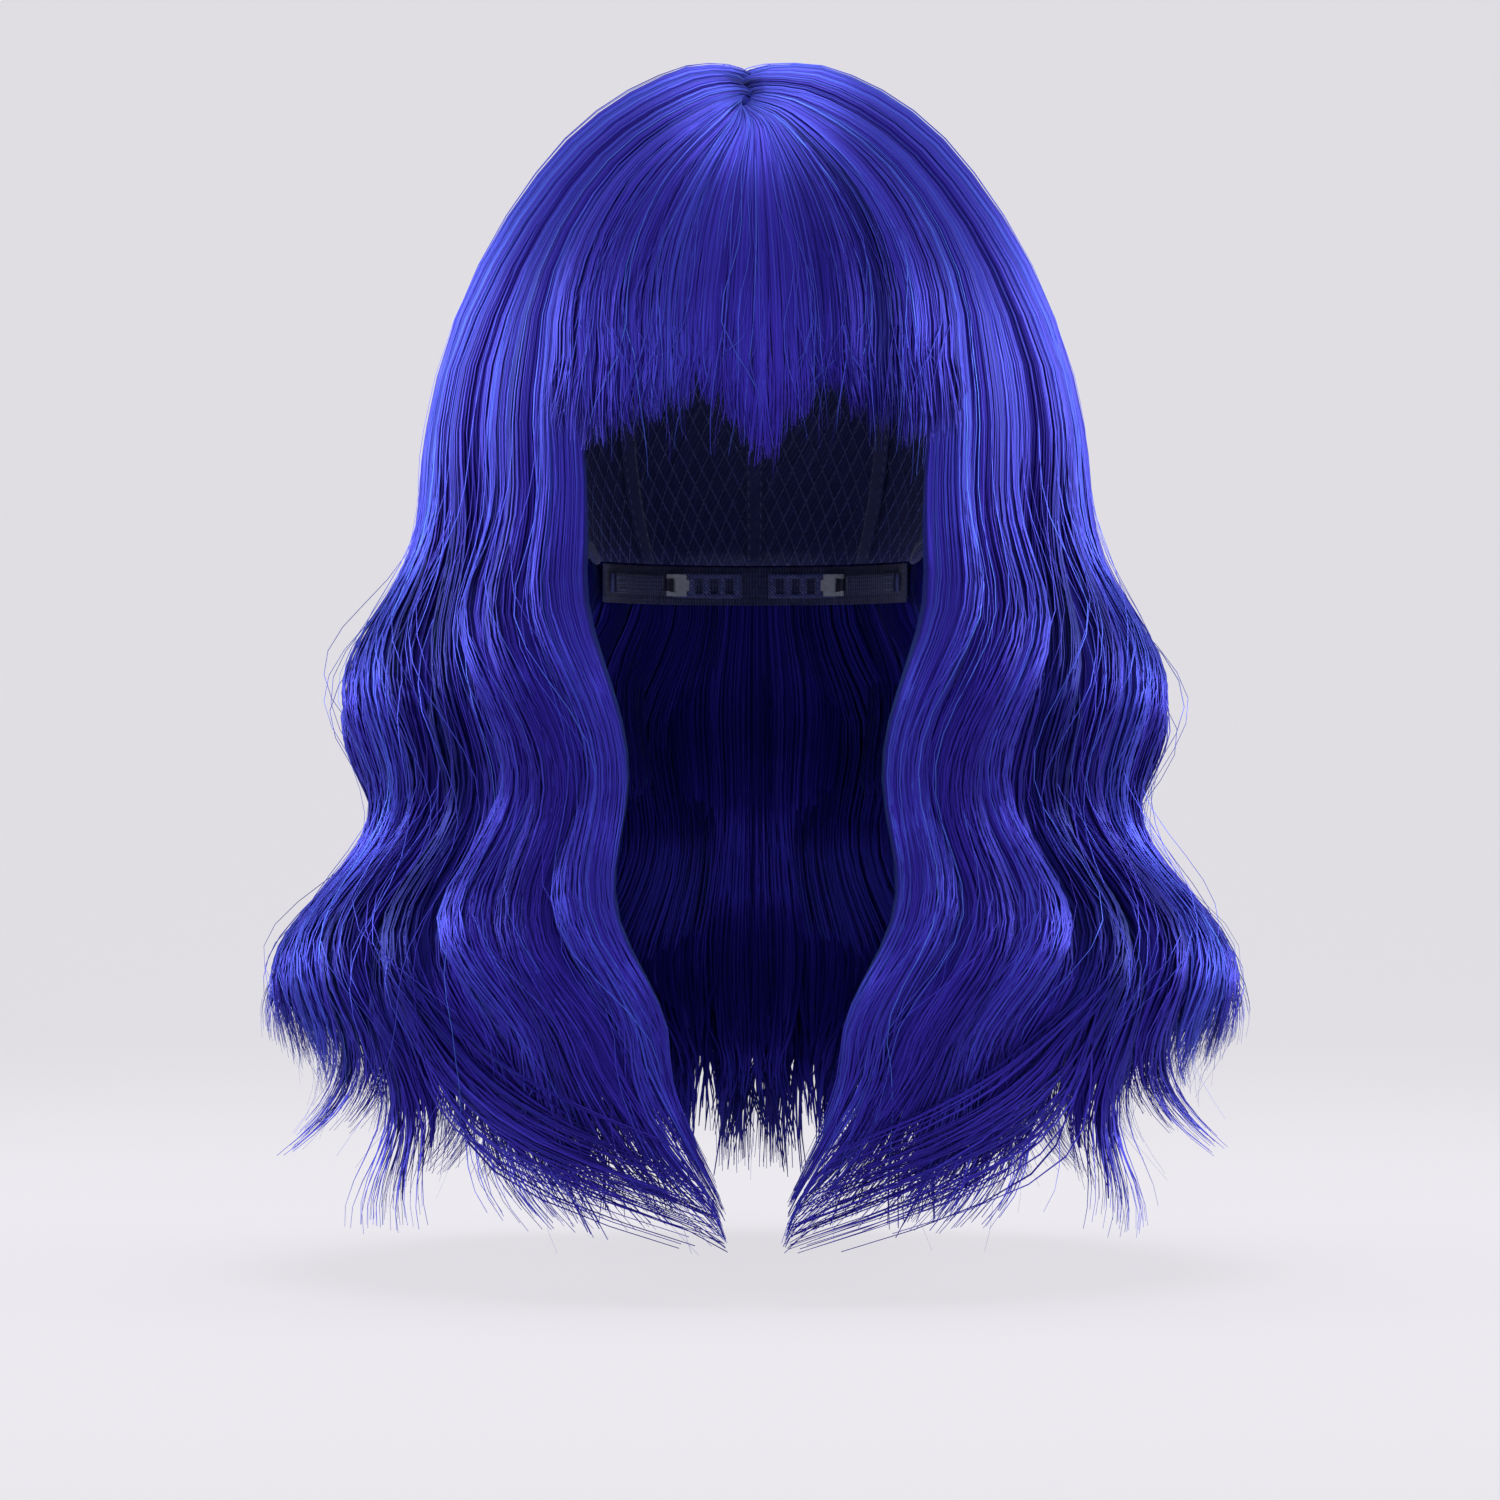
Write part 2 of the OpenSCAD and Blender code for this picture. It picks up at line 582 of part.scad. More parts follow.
crown_net();
parting_patch();
front_band();
nape_band();
rib(180);  // rib_middle
rib(180 - rib_side_turn);  // rib_left
rib(180 + rib_side_turn);  // rib_right
ear_tab();  // ear_tab_left
right_side() ear_tab();  // ear_tab_right
ear_stay();  // ear_stay_left
right_side() ear_stay();  // ear_stay_right
side_band();  // side_band_left
right_side() side_band();  // side_band_right
pocket_tape();  // pocket_tape_left
right_side() pocket_tape();  // pocket_tape_right
strap_anchor();  // strap_anchor_left
right_side() strap_anchor();  // strap_anchor_right
adjuster_strap();  // adjuster_strap_left
right_side() adjuster_strap();  // adjuster_strap_right
strap_loop();  // strap_loop_left
right_side() strap_loop();  // strap_loop_right
adjuster_hook();  // adjuster_hook_left
right_side() adjuster_hook();  // adjuster_hook_right
weft_track(0);  // weft_track_1
weft_track(1);  // weft_track_2
weft_track(2);  // weft_track_3
weft_track(3);  // weft_track_4
weft_track(4);  // weft_track_5
weft_track(5);  // weft_track_6
weft_track(6);  // weft_track_7
fringe(fringe_middle_turns, fringe_middle_z);  // fringe_middle
fringe(fringe_inner_turns, fringe_tip_z);  // fringe_inner_left
right_side() fringe(fringe_inner_turns, fringe_tip_z);  // fringe_inner_right
fringe(fringe_outer_turns, fringe_tip_z);  // fringe_outer_left
right_side() fringe(fringe_outer_turns, fringe_tip_z);  // fringe_outer_right
lock([face_turn, cheek_turn]);  // front_lock_left
right_side() lock([face_turn, cheek_turn]);  // front_lock_right
lock([cheek_turn, side_turn]);  // cheek_lock_left
right_side() lock([cheek_turn, side_turn]);  // cheek_lock_right
lock([side_turn, rear_turn]);  // side_lock_left
right_side() lock([side_turn, rear_turn]);  // side_lock_right
lock([rear_turn, back_turn]);  // rear_lock_left
right_side() lock([rear_turn, back_turn]);  // rear_lock_right
lock([back_turn, spine_turn]);  // back_lock_left
right_side() lock([back_turn, spine_turn]);  // back_lock_right
lock([spine_turn, 180]);  // spine_lock_left
right_side() lock([spine_turn, 180]);  // spine_lock_right
under_lock([under_turn, rear_turn]);  // under_side_left
right_side() under_lock([under_turn, rear_turn]);  // under_side_right
under_lock([rear_turn, back_turn]);  // under_rear_left
right_side() under_lock([rear_turn, back_turn]);  // under_rear_right
under_lock([back_turn, spine_turn]);  // under_back_left
right_side() under_lock([back_turn, spine_turn]);  // under_back_right
under_lock([spine_turn, 180]);  // under_spine_left
right_side() under_lock([spine_turn, 180]);  // under_spine_right
nape_lock([nape_hair_turn, spine_turn]);  // nape_side_left
right_side() nape_lock([nape_hair_turn, spine_turn]);  // nape_side_right
nape_lock([spine_turn, 180]);  // nape_spine_left
right_side() nape_lock([spine_turn, 180]);  // nape_spine_right
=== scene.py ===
import bpy
import numpy as np
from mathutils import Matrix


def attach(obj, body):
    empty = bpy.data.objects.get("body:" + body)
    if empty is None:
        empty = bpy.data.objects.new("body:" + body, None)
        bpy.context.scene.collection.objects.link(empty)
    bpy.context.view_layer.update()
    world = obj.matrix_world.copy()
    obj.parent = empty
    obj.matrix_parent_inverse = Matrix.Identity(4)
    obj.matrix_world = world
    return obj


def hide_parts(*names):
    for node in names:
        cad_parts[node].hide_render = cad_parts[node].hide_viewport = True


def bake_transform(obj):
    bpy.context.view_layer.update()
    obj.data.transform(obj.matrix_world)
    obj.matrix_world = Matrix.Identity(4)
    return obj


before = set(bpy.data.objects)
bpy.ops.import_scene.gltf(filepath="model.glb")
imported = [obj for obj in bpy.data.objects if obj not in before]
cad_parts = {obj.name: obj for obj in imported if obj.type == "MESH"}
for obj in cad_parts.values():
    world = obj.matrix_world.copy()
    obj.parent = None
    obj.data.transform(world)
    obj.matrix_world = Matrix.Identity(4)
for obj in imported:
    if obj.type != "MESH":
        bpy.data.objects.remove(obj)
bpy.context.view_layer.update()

print("frame loaded:", len(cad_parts), "nodes")

mm = 1000  # millimetres in a metre
hands = dict(left=1.0, right=-1.0)

# Lengths are metres and turns are degrees: turn 0 is over the face, 90 over the wearer's left ear.
headShape = dict(headW=0.156, headL=0.198, crownH=0.092, napeW=0.129, napeL=0.169, napeDrop=0.062,
                 skirtRate=0.0015, hairlineZ=0.045, earZ=-0.005, hairlineTurn=20, templeTurn=62,
                 earBackTurn=88, napeTurn=120)
headHalves = np.array([headShape["headW"] / 2, headShape["headL"] / 2, headShape["crownH"]])

# Form of the hair: its dome and depth, its waves, its sweep beside the face, its tips and its parting.
hairShape = dict(top=0.112, domeW=0.199, browW=0.224, browFrom=0.55, browCurve=1.5, front=0.111,
                 back=0.121, behind=(60, 120), flare=0.225, backFlare=0.05, sideDepth=0.046,
                 endDepth=0.034, leaveEnd=2.4, rootOff=0.0029, rootPuff=0.82, puffEnd=0.16,
                 notch=0.14, notchEnd=0.03,
                 waveSide=0.097, firstWave=0.136, waveFront=0.108, waveOut=0.011, frontSwell=0.75,
                 waveTurn=5.4, waveStart=0.012, waveFull=0.1, swellZ=-0.105, swayZ=-0.12,
                 faceTurn=36, rearTurn=96, faceSweep=21, sweepEndZ=-0.23, faceCurl=14,
                 frontTipZ=-0.287, sideTipZ=-0.249, backTipZ=-0.286, lowestZ=-0.294,
                 sideTips=(40, 84), backTips=(100, 150),
                 partFront=36, partBack=9, partX=-0.003, partZig=0.0022, partZigs=3.0, partFade=0.2,
                 arch=13, archTurn=38, archSpan=26, archStart=12)


def ease(a, b, x):  # smooth step: 0 at a, 1 at b, level at both ends
    t = np.clip((x - a) / (b - a), 0.0, 1.0)
    return t * t * (3 - 2 * t)


def mixed(a, b, t):  # a at 0, b at 1, straight between
    return a + (b - a) * t


def sinD(a):  # of degrees
    return np.sin(np.deg2rad(a))


def cosD(a):
    return np.cos(np.deg2rad(a))


def unit(v):  # the vector over its length
    return v / (np.linalg.norm(v, axis=-1, keepdims=True) + 1e-12)


def partLean(turn):  # where on the parting a strand has its root, in degrees from the top, front negative
    h = hairShape
    return (h["partBack"] - h["partFront"]) / 2 - (h["partFront"] + h["partBack"]) / 2 * cosD(turn)


# Way of a strand over the crown: the great circle on a unit ball from its root on the parting
# (along 0) to the place on the brow line where it starts to hang (along 1).
def strandWay(turn, along):
    lean = partLean(turn)
    way = np.arccos(np.clip(-sinD(lean) * cosD(turn), -1, 1))
    a = np.sin((1 - along) * way) / np.sin(way)
    b = np.sin(along * way) / np.sin(way)
    return np.stack([b * sinD(turn), a * sinD(lean) - b * cosD(turn), a * cosD(lean)], -1)


# Half width and half length of the cap at a height: an oval that draws in towards the nape by the
# square of the depth.
def capHalves(z):
    c = headShape
    lean = (np.clip(z, -c["napeDrop"], 0) / c["napeDrop"]) ** 2
    return mixed(c["headW"], c["napeW"], lean) / 2, mixed(c["headL"], c["napeL"], lean) / 2


# Point in the hair: on the crown the strand's way, arched outwards beside the face, scaled between
# the cap (share 0) and the outside (share 1). Below the brow line it is on an oval that flares with
# depth, swells in waves along its radius and sways in waves round the head. gain and phase vary the
# waves of one tress.
def hairPoint(turn, along, z, share, gain=1.0, phase=0.0):
    h, c = hairShape, headShape
    turn, along, z, share = np.broadcast_arrays(turn, along, z, share)
    t, hand = np.abs(turn), np.sign(turn)
    behind = ease(*h["behind"], t)
    grown = ease(h["waveStart"], h["waveFull"], -z) * gain
    period = np.where(z > h["swellZ"], h["firstWave"], h["waveSide"])  # longer above the first crest
    swell = h["waveOut"] * grown * cosD(360 * (z - h["swellZ"]) / period + phase)
    swing = cosD(360 * (z - h["swayZ"]) / h["waveFront"] + phase)
    sway = h["waveTurn"] * grown * sinD(np.minimum(180, t)) * swing
    sweep = h["faceSweep"] * ease(0, h["sweepEndZ"], z)
    sweep = sweep + h["faceCurl"] * ease(h["sweepEndZ"], h["frontTipZ"], z)
    toFace = np.minimum(1, t / h["faceTurn"]) * (1 - ease(h["faceTurn"], h["rearTurn"], t)) * sweep
    hung = hand * (t - toFace - sway)
    halfW = h["browW"] / 2 - h["flare"] * z + swell
    halfL = mixed(h["front"], h["back"] - h["backFlare"] * z, behind) + swell * h["frontSwell"]
    capW, capL = capHalves(z)
    leave = ease(-c["napeDrop"], -c["napeDrop"] * h["leaveEnd"], z)
    wide = mixed(mixed(capW + h["rootOff"], halfW - h["sideDepth"], leave), halfW, share)
    deep = mixed(mixed(capL + h["rootOff"], halfL - h["endDepth"], leave), halfL, share)
    hang = np.stack([wide * sinD(hung), -deep * cosD(hung), z], -1)
    arch = h["arch"] * np.exp(-((t - h["archTurn"]) / h["archSpan"]) ** 2)
    arch = arch * np.minimum(1, t / h["archStart"])
    way = strandWay(hand * (t + arch * np.sin(np.pi * along)), along)
    puff = mixed(h["rootPuff"], 1, ease(0, h["puffEnd"], along))
    puff = puff - h["notch"] * (1 - ease(0, h["notchEnd"], along))
    widen = np.maximum(0, (along - h["browFrom"]) / (1 - h["browFrom"])) ** h["browCurve"]
    domeW = mixed(h["domeW"], h["browW"], widen) / 2
    domeL = mixed(h["front"], h["back"], behind)
    inner = way * (headHalves + h["rootOff"])
    outer = way * np.stack([domeW, domeL, np.full(domeL.shape, h["top"])], -1)
    dome = inner + (outer - inner) * (share * puff)[..., None]
    zigs = partLean(turn) / (h["partFront"] + h["partBack"]) * h["partZigs"]
    zig = np.abs(zigs % 1 - 0.5) * 4 - 1
    dome[..., 0] += (h["partX"] + h["partZig"] * zig) * (1 - ease(0, h["partFade"], along))
    return np.where((along < 1)[..., None], dome, hang)


def tipHeight(turn):  # tips are longest beside the face and down the back, shortest over the shoulders
    h, t = hairShape, np.abs(turn)
    front = mixed(h["frontTipZ"], h["sideTipZ"], ease(*h["sideTips"], t))
    return mixed(front, h["backTipZ"], ease(*h["backTips"], t))


# Faces of closed tubes: quads join each ring of corners to the next. A ring of three corners is
# closed by a triangle at each end, and a wider ring by a strip of quads.
def ringFaces(tubes, stations, corners):
    base = np.arange(tubes)[:, None, None] * stations * corners
    near = base + np.arange(stations - 1)[None, :, None] * corners
    far = near + corners
    k = np.arange(corners)[None, None, :]
    n = (k + 1) % corners
    sides = np.stack([near + k, near + n, far + n, far + k], -1).reshape(-1, 4)
    first, last = base[:, :, 0], base[:, :, 0] + (stations - 1) * corners
    if corners == 3:
        return sides, np.concatenate([first + [[2, 1, 0]], last + [[0, 1, 2]]])
    i = np.arange(corners // 2 - 1)[None, :]
    strip = np.stack([i, i + 1, corners - 2 - i, corners - 1 - i], -1)
    ends = np.concatenate([first[..., None] + strip[..., ::-1], last[..., None] + strip])
    return np.concatenate([sides, ends.reshape(-1, 4)]), np.zeros((0, 3), int)


coordSpan = 500  # the pattern on a tube starts at a chance place within this many millimetres


def ringCoords(rings, seed):  # UV in millimetres: round the ring, and along the tube
    rng = np.random.default_rng(seed)
    tubes, stations, corners = rings.shape[:3]

    def runOf(steps):  # the steps summed, from a chance start
        total = np.concatenate([np.zeros((tubes, 1)), np.cumsum(steps, 1)], 1)
        return total * mm + rng.uniform(0, coordSpan, (tubes, 1))

    v = runOf(np.linalg.norm(np.diff(rings.mean(2), axis=1), axis=-1))
    u = runOf(np.linalg.norm(np.roll(rings, -1, 2) - rings, axis=-1).mean(1))
    full = np.zeros((tubes, stations - 1, corners))
    left, right = u[:, None, :-1] + full, u[:, None, 1:] + full
    near, far = v[:, :-1, None] + full, v[:, 1:, None] + full
    sides = np.stack([left, near, right, near, right, far, left, far], -1)
    ends = np.full((tubes * (corners // 2 - 1) * 2, 8), rng.uniform(0, coordSpan))
    return np.concatenate([sides.reshape(-1, 8), ends])


def newObject(name, data):  # an object in the scene's own collection
    made = bpy.data.objects.new(name, data)
    bpy.context.scene.collection.objects.link(made)
    return made


# Puts groups of tubes into one mesh. A group is rings (tubes, stations, corners, 3), tone (light or
# dark of each point) and, where they are not the faces' own, the normals of the points. The lowest
# face of a strand takes them turned over, so that it also shines when seen from the inside.
def ringObject(name, groups, material, seed):
    points, quads, ends, coords, tones, normals, turned, lowest = ([] for _ in range(8))
    first = 0
    for g, (rings, tone, facing) in enumerate(groups):
        t, m, k = rings.shape[:3]
        sides, caps = ringFaces(t, m, k)
        points.append(rings.reshape(-1, 3))
        quads.append(sides + first)
        ends.append(caps + first)
        coords.append(ringCoords(rings, seed * 31 + g))
        tones.append(np.broadcast_to(tone, (t, m, k)).reshape(-1))
        facing = np.zeros((t, m, k, 3)) if facing is None else facing
        sheet = facing[:, :, k // 2, None]
        normals.append(facing.reshape(-1, 3))
        turned.append((facing - 2 * np.sum(facing * sheet, -1, keepdims=True) * sheet).reshape(-1, 3))
        lowest.append(np.arange(len(sides)) % k == k - 1)
        first += t * m * k
    points, quads, ends = (np.concatenate(v) for v in (points, quads, ends))
    normals, turned, lowest = (np.concatenate(v) for v in (normals, turned, lowest))
    coords.append(np.zeros((len(ends), 6)))
    mesh = bpy.data.meshes.new(name)
    mesh.vertices.add(len(points))
    mesh.vertices.foreach_set("co", points.astype(np.float32).ravel())
    mesh.loops.add(quads.size + ends.size)
    corners = np.concatenate([quads.ravel(), ends.ravel()])
    mesh.loops.foreach_set("vertex_index", corners.astype(np.int32))
    starts = np.concatenate([np.arange(len(quads)) * 4, quads.size + np.arange(len(ends)) * 3])
    mesh.polygons.add(len(starts))
    mesh.polygons.foreach_set("loop_start", starts.astype(np.int32))
    mesh.polygons.foreach_set("use_smooth", np.full(len(starts), True))
    layer = mesh.uv_layers.new(name="across")
    layer.data.foreach_set("uv", np.concatenate([c.ravel() for c in coords]).astype(np.float32))
    shade = mesh.attributes.new("tone", "FLOAT", "POINT")
    shade.data.foreach_set("value", np.concatenate(tones).astype(np.float32))
    mesh.update(calc_edges=True)
    if np.any(normals):
        sides = np.where(lowest[:, None, None], turned[quads], normals[quads])
        every = np.concatenate([sides.reshape(-1, 3), normals[ends].reshape(-1, 3)])
        mesh.normals_split_custom_set(every.astype(np.float32))
    mesh.materials.append(material)
    return newObject(name, mesh)


def dress(piece, node):  # hides the node it stands for and puts the piece on the body it rides on
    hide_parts(node)
    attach(piece, "cap")


def hexColor(text):  # sRGB hex to linear red, green, blue, alpha
    s = np.array([int(text[i:i + 2], 16) / 255 for i in (1, 3, 5)])
    rgb = np.where(s <= 0.04045, s / 12.92, ((s + 0.055) / 1.055) ** 2.4)
    return (*[float(v) for v in rgb], 1.0)


def addNode(tree, kind, values=(), links=(), **settings):  # one node, its input values and its links
    made = tree.nodes.new(kind)
    for key, value in settings.items():
        setattr(made, key, value)
    for key, value in dict(values).items():
        made.inputs[key].default_value = value
    for key, (source, out) in dict(links).items():
        tree.links.new(source.outputs[out], made.inputs[key])
    return made


def setStops(ramp, stops):  # stops are (place, hex)
    marks = ramp.color_ramp.elements
    while len(marks) < len(stops):
        marks.new(0.5)
    for mark, (place, text) in zip(marks, stops):
        mark.position = place
        mark.color = hexColor(text)


def newMaterial(name):  # with an empty tree to fill
    made = bpy.data.materials.new(name)
    made.use_nodes = True
    made.node_tree.nodes.clear()
    return made, made.node_tree


def closeMaterial(tree, shader):
    addNode(tree, "ShaderNodeOutputMaterial", links={"Surface": (shader, "BSDF")})


# Modacrylic wig fibre, drawn and heat set: glossy filaments side by side, so the eye sees thin
# streaks of lighter and darker blue and a soft highlight across them. A filament is 0.07 mm thick,
# too fine to show, so a streak stands for a few that lie together: streak is its width and run its
# length in millimetres. Light that goes into a filament and out again takes up its dye, so part of
# the gloss is blue: dyed is that part, and shine the clear rest. sheen is the pale edge of many hairs.
fibreLook = dict(streak=0.42, run=60.0, detail=3.0, uneven=0.62, weight=0.55, bump=0.2, bumpDepth=0.0003,
                 gloss=0.35, ior=1.48, shine=0.25, dyed=0.42, tint="#78B6FF", sheen=0.1, sheenSpread=0.5)
# The lighter end of the ramp turns azure, the hue of the hair's highlights, so the lightest streaks and
# strands carry a painted highlight colour; the rest is the fibre's violet blue.
fibreBlues = [(0.0, "#0C0550"), (0.28, "#1C0E70"), (0.52, "#33219C"), (0.76, "#3F48BE"), (1.0, "#4F7ADC")]
# The under hair is the same fibre: its blues are darker, as painted shade for hair that hangs inside the
# outer locks.
shadedUnderBlues = [(0.0, "#0B054C"), (0.4, "#170D70"), (0.7, "#271B94"), (1.0, "#4242B2")]


def makeFibre(name, stops):
    f = fibreLook
    made, tree = newMaterial(name)
    uv = addNode(tree, "ShaderNodeUVMap", uv_map="across")
    size = addNode(tree, "ShaderNodeMapping", {"Scale": (1 / f["streak"], 1 / f["run"], 1)},
                   {"Vector": (uv, "UV")})
    streak = addNode(tree, "ShaderNodeTexNoise",
                     {"Scale": 1.0, "Detail": f["detail"], "Roughness": f["uneven"]},
                     {"Vector": (size, "Vector")})
    tone = addNode(tree, "ShaderNodeAttribute", attribute_name="tone")
    part = addNode(tree, "ShaderNodeMath", {1: f["weight"], 2: -f["weight"] / 2},
                   {0: (streak, "Fac")}, operation="MULTIPLY_ADD")
    total = addNode(tree, "ShaderNodeMath", (), {0: (part, "Value"), 1: (tone, "Fac")}, operation="ADD")
    ramp = addNode(tree, "ShaderNodeValToRGB", (), {"Fac": (total, "Value")})
    setStops(ramp, stops)
    bump = addNode(tree, "ShaderNodeBump", {"Strength": f["bump"], "Distance": f["bumpDepth"]},
                   {"Height": (streak, "Fac")})
    tint = hexColor(f["tint"])
    shader = addNode(tree, "ShaderNodeBsdfPrincipled",
                     {"Roughness": f["gloss"], "IOR": f["ior"], "Metallic": f["dyed"],
                      "Specular IOR Level": f["shine"], "Specular Tint": tint, "Sheen Weight": f["sheen"],
                      "Sheen Roughness": f["sheenSpread"], "Sheen Tint": tint},
                     {"Base Color": (ramp, "Color"), "Normal": (bump, "Normal")})
    closeMaterial(tree, shader)
    return made


fibre = makeFibre("modacrylicFibre", fibreBlues)
shadedUnderFibre = makeFibre("modacrylicUnderFibreShaded", shadedUnderBlues)

# What all strands share: lean rounds the shine of one strand, reach is how far across its tress it may
# lie, inward how few lie deep, blur how they mix between points, early and slant how soon they end.
# deepShade is painted shade: strands that lie deeper are drawn darker by it.
strandLook = dict(lean=1.0, reach=1.06, inward=1.6, blur=0.12, early=1.5, slant=0.5, lowSpan=0.006,
                  waves=(0.7, 2.0), waveLift=0.006, curlStray=0.1, gainSpan=0.03, phaseSpan=3,
                  rootThin=0.55, rootEnd=0.06, tipThin=0.75, thick=0.8, deepShade=0.08)
outStep = 0.04  # share of the depth between a strand and the point that gives its way outwards


# Section of a strand: a flat triangle across its way, its broad side down. The normals are mostly
# those of the sheet of hair it lies in, leant sideways by tilt, so a tress shines as one rounded band.
def strandRings(path, outward, width, thick, tilt):
    way = unit(np.gradient(path, axis=1))
    across = unit(np.cross(way, outward))
    up = np.cross(across, way)
    w, h = across * width[..., None] / 2, up * thick[..., None] / 2
    sheet = unit(up - across * tilt[..., None])
    lean = strandLook["lean"] * across
    normals = np.stack([unit(sheet - lean), sheet, unit(sheet + lean)], 2)
    return np.stack([path - w, path + h, path + w], 2), normals


# Stations along a strand: steps over the crown that start fine at the root, then steps down that get
# finer towards the tip.
def stationsOf(s):
    crown = np.linspace(0, 1, s["crownStations"], endpoint=False) ** s["rootFine"]
    hang = 1 - (1 - np.linspace(0, 1, s["hangStations"])) ** s["tipFine"]
    along = np.concatenate([crown, np.ones(len(hang))])[None, :]
    hang = np.concatenate([np.zeros(len(crown)), hang])[None, :]
    run = s["crownRun"] if s["crownStations"] else 0.0
    length = run + s["startZ"] - s["tipMean"]
    return along, hang, (along * run + hang * (length - run)) / length


def pathOut(turn, along, z, share, gain, phase):  # a strand's line in the hair, and its way outwards
    path = hairPoint(turn, along, z, share, gain, phase)
    return path, unit(hairPoint(turn, along, z, share + outStep, gain, phase) - path)


def slowWave(rng, waves, n, u):  # a sine down each strand that grows from its root
    return np.sin(2 * np.pi * (rng.uniform(*waves, (n, 1)) * u + rng.uniform(0, 1, (n, 1)))) * u


def pointHome(s, point):  # middle of a point of the tips across its tress, -1 to 1
    return (point + 0.5) / s["points"] * 2 - 1


# Painted shade in the parting: the hair is drawn darker where it leaves it. A negative rootDark, as on
# the fringe, draws the roots lighter.
def rootShade(s, along):  # how much darker the hair is where it leaves the parting
    if not s["crownStations"]:
        return 0 * along
    return s["rootDark"] * (1 - ease(s["rootSharp"] * s["rootSpan"], s["rootSpan"], along))


# Tresses of a lock: where each lies, how far it spreads, its layer, its own waves, and how long each
# point of its tips is, how far it curls round the head and how far it flicks away from it.
def tressShape(s, seed):
    rng = np.random.default_rng(seed)
    a, b = s["turns"]
    n, p = s["tresses"], s["points"]
    step = (b - a) / n
    own = lambda key: np.broadcast_to(np.asarray(s[key], float), n)
    return dict(middle=a + step * (np.arange(n) + 0.5 + rng.uniform(-s["uneven"], s["uneven"], n)),
                half=step / 2 * rng.uniform(*s["spread"], n),
                layer=rng.uniform(*s["layers"], n) + own("lift"), dip=own("dip"),
                gain=rng.uniform(*s["gain"], n), phase=rng.normal(0, s["phase"], n),
                jog=own("drop")[:, None] + rng.normal(0, s["ragged"], (n, p)),
                curl=own("curl")[:, None] + rng.normal(0, s["curlSpan"], (n, p)),
                flick=own("flick")[:, None] + rng.normal(0, s["flickSpan"], (n, p)),
                close=rng.uniform(*s["close"], (n, p)), light=rng.normal(0, s["lightSpan"], n))


# Lines of hair in their tresses. A line keeps its place across the tress, -1 to 1, and sits lower
# towards the tress's edges. Near the tips it gathers into one of the tress's points, which curls and
# flicks with the cube of the way to its end. Half way down a tress may dip between its neighbours,
# and sink is how far: there its colour is painted darker, as shade. sway and lift are what a strand
# adds of its own, in degrees and in shares.
def tressLines(s, t, of, point, place, depth, tip, close, sway, lift):
    along, hang, u = stationsOf(s)
    z = s["startZ"] + (tip[:, None] - s["startZ"]) * hang
    gather = ease(s["gatherFrom"], 1, u) * (1 - close[:, None])
    across = place[:, None] + (pointHome(s, point) - place)[:, None] * gather
    end = np.clip((u - s["curlFrom"]) / (1 - s["curlFrom"]), 0, 1) ** 3
    turn = t["middle"][of][:, None] + t["half"][of][:, None] * across
    turn = turn + t["curl"][of, point][:, None] * end + sway
    sink = t["dip"][of][:, None] * ease(*s["dipStart"], -z) * (1 - ease(*s["dipEnd"], -z))
    share = t["layer"][of][:, None] - s["round"] * across ** 2 - s["deep"] * depth[:, None] - sink
    share = share + t["flick"][of, point][:, None] * end + lift
    return s["side"] * turn, along, z, share, across, sink


# Body of each point of a tress: a thin band a little under its strands, drawn in to the point.
# It is drawn darker by darker, as painted shade under the strands.
bandLook = dict(across=7, tipThin=0.9, darker=0.04)


def tressBodies(s, t):
    g = bandLook
    wide = g["across"]
    of, point, step = (v.ravel() for v in np.indices((s["tresses"], s["points"], wide)))
    home = pointHome(s, point)
    place = home + (step / (wide - 1) * 2 - 1) * s["bodySpread"] / s["points"]
    tip = s["tip"](t["middle"][of] + t["half"][of] * home) + t["jog"][of, point] + s["bodyShort"]
    depth, close = np.full(len(of), s["bodyDepth"]), np.full(len(of), s["bodyClose"])
    turn, along, z, share, _, sink = tressLines(s, t, of, point, place, depth, tip, close, 0.0, 0.0)
    gain, phase = t["gain"][of][:, None], t["phase"][of][:, None]
    thick = s["bodyThick"] * (1 - g["tipThin"] * ease(s["gatherFrom"], 1, stationsOf(s)[2]))
    faces = [hairPoint(turn, along, z, share - under, gain, phase) for under in (0.0, thick)]
    top, low = (f.reshape(-1, wide, *f.shape[1:]).swapaxes(1, 2) for f in faces)
    rings = np.concatenate([top, low[:, :, ::-1]], 2)
    # Painted shade: darker under the strands, at the parting and where the tress dips.
    tone = (s["tone"] - g["darker"] + t["light"][of[::wide]])[:, None] - rootShade(s, along)
    tone = tone - s["sunk"] * sink[::wide]
    return rings[:, :, ::-1] if s["side"] * s["facing"] > 0 else rings, tone[..., None], None


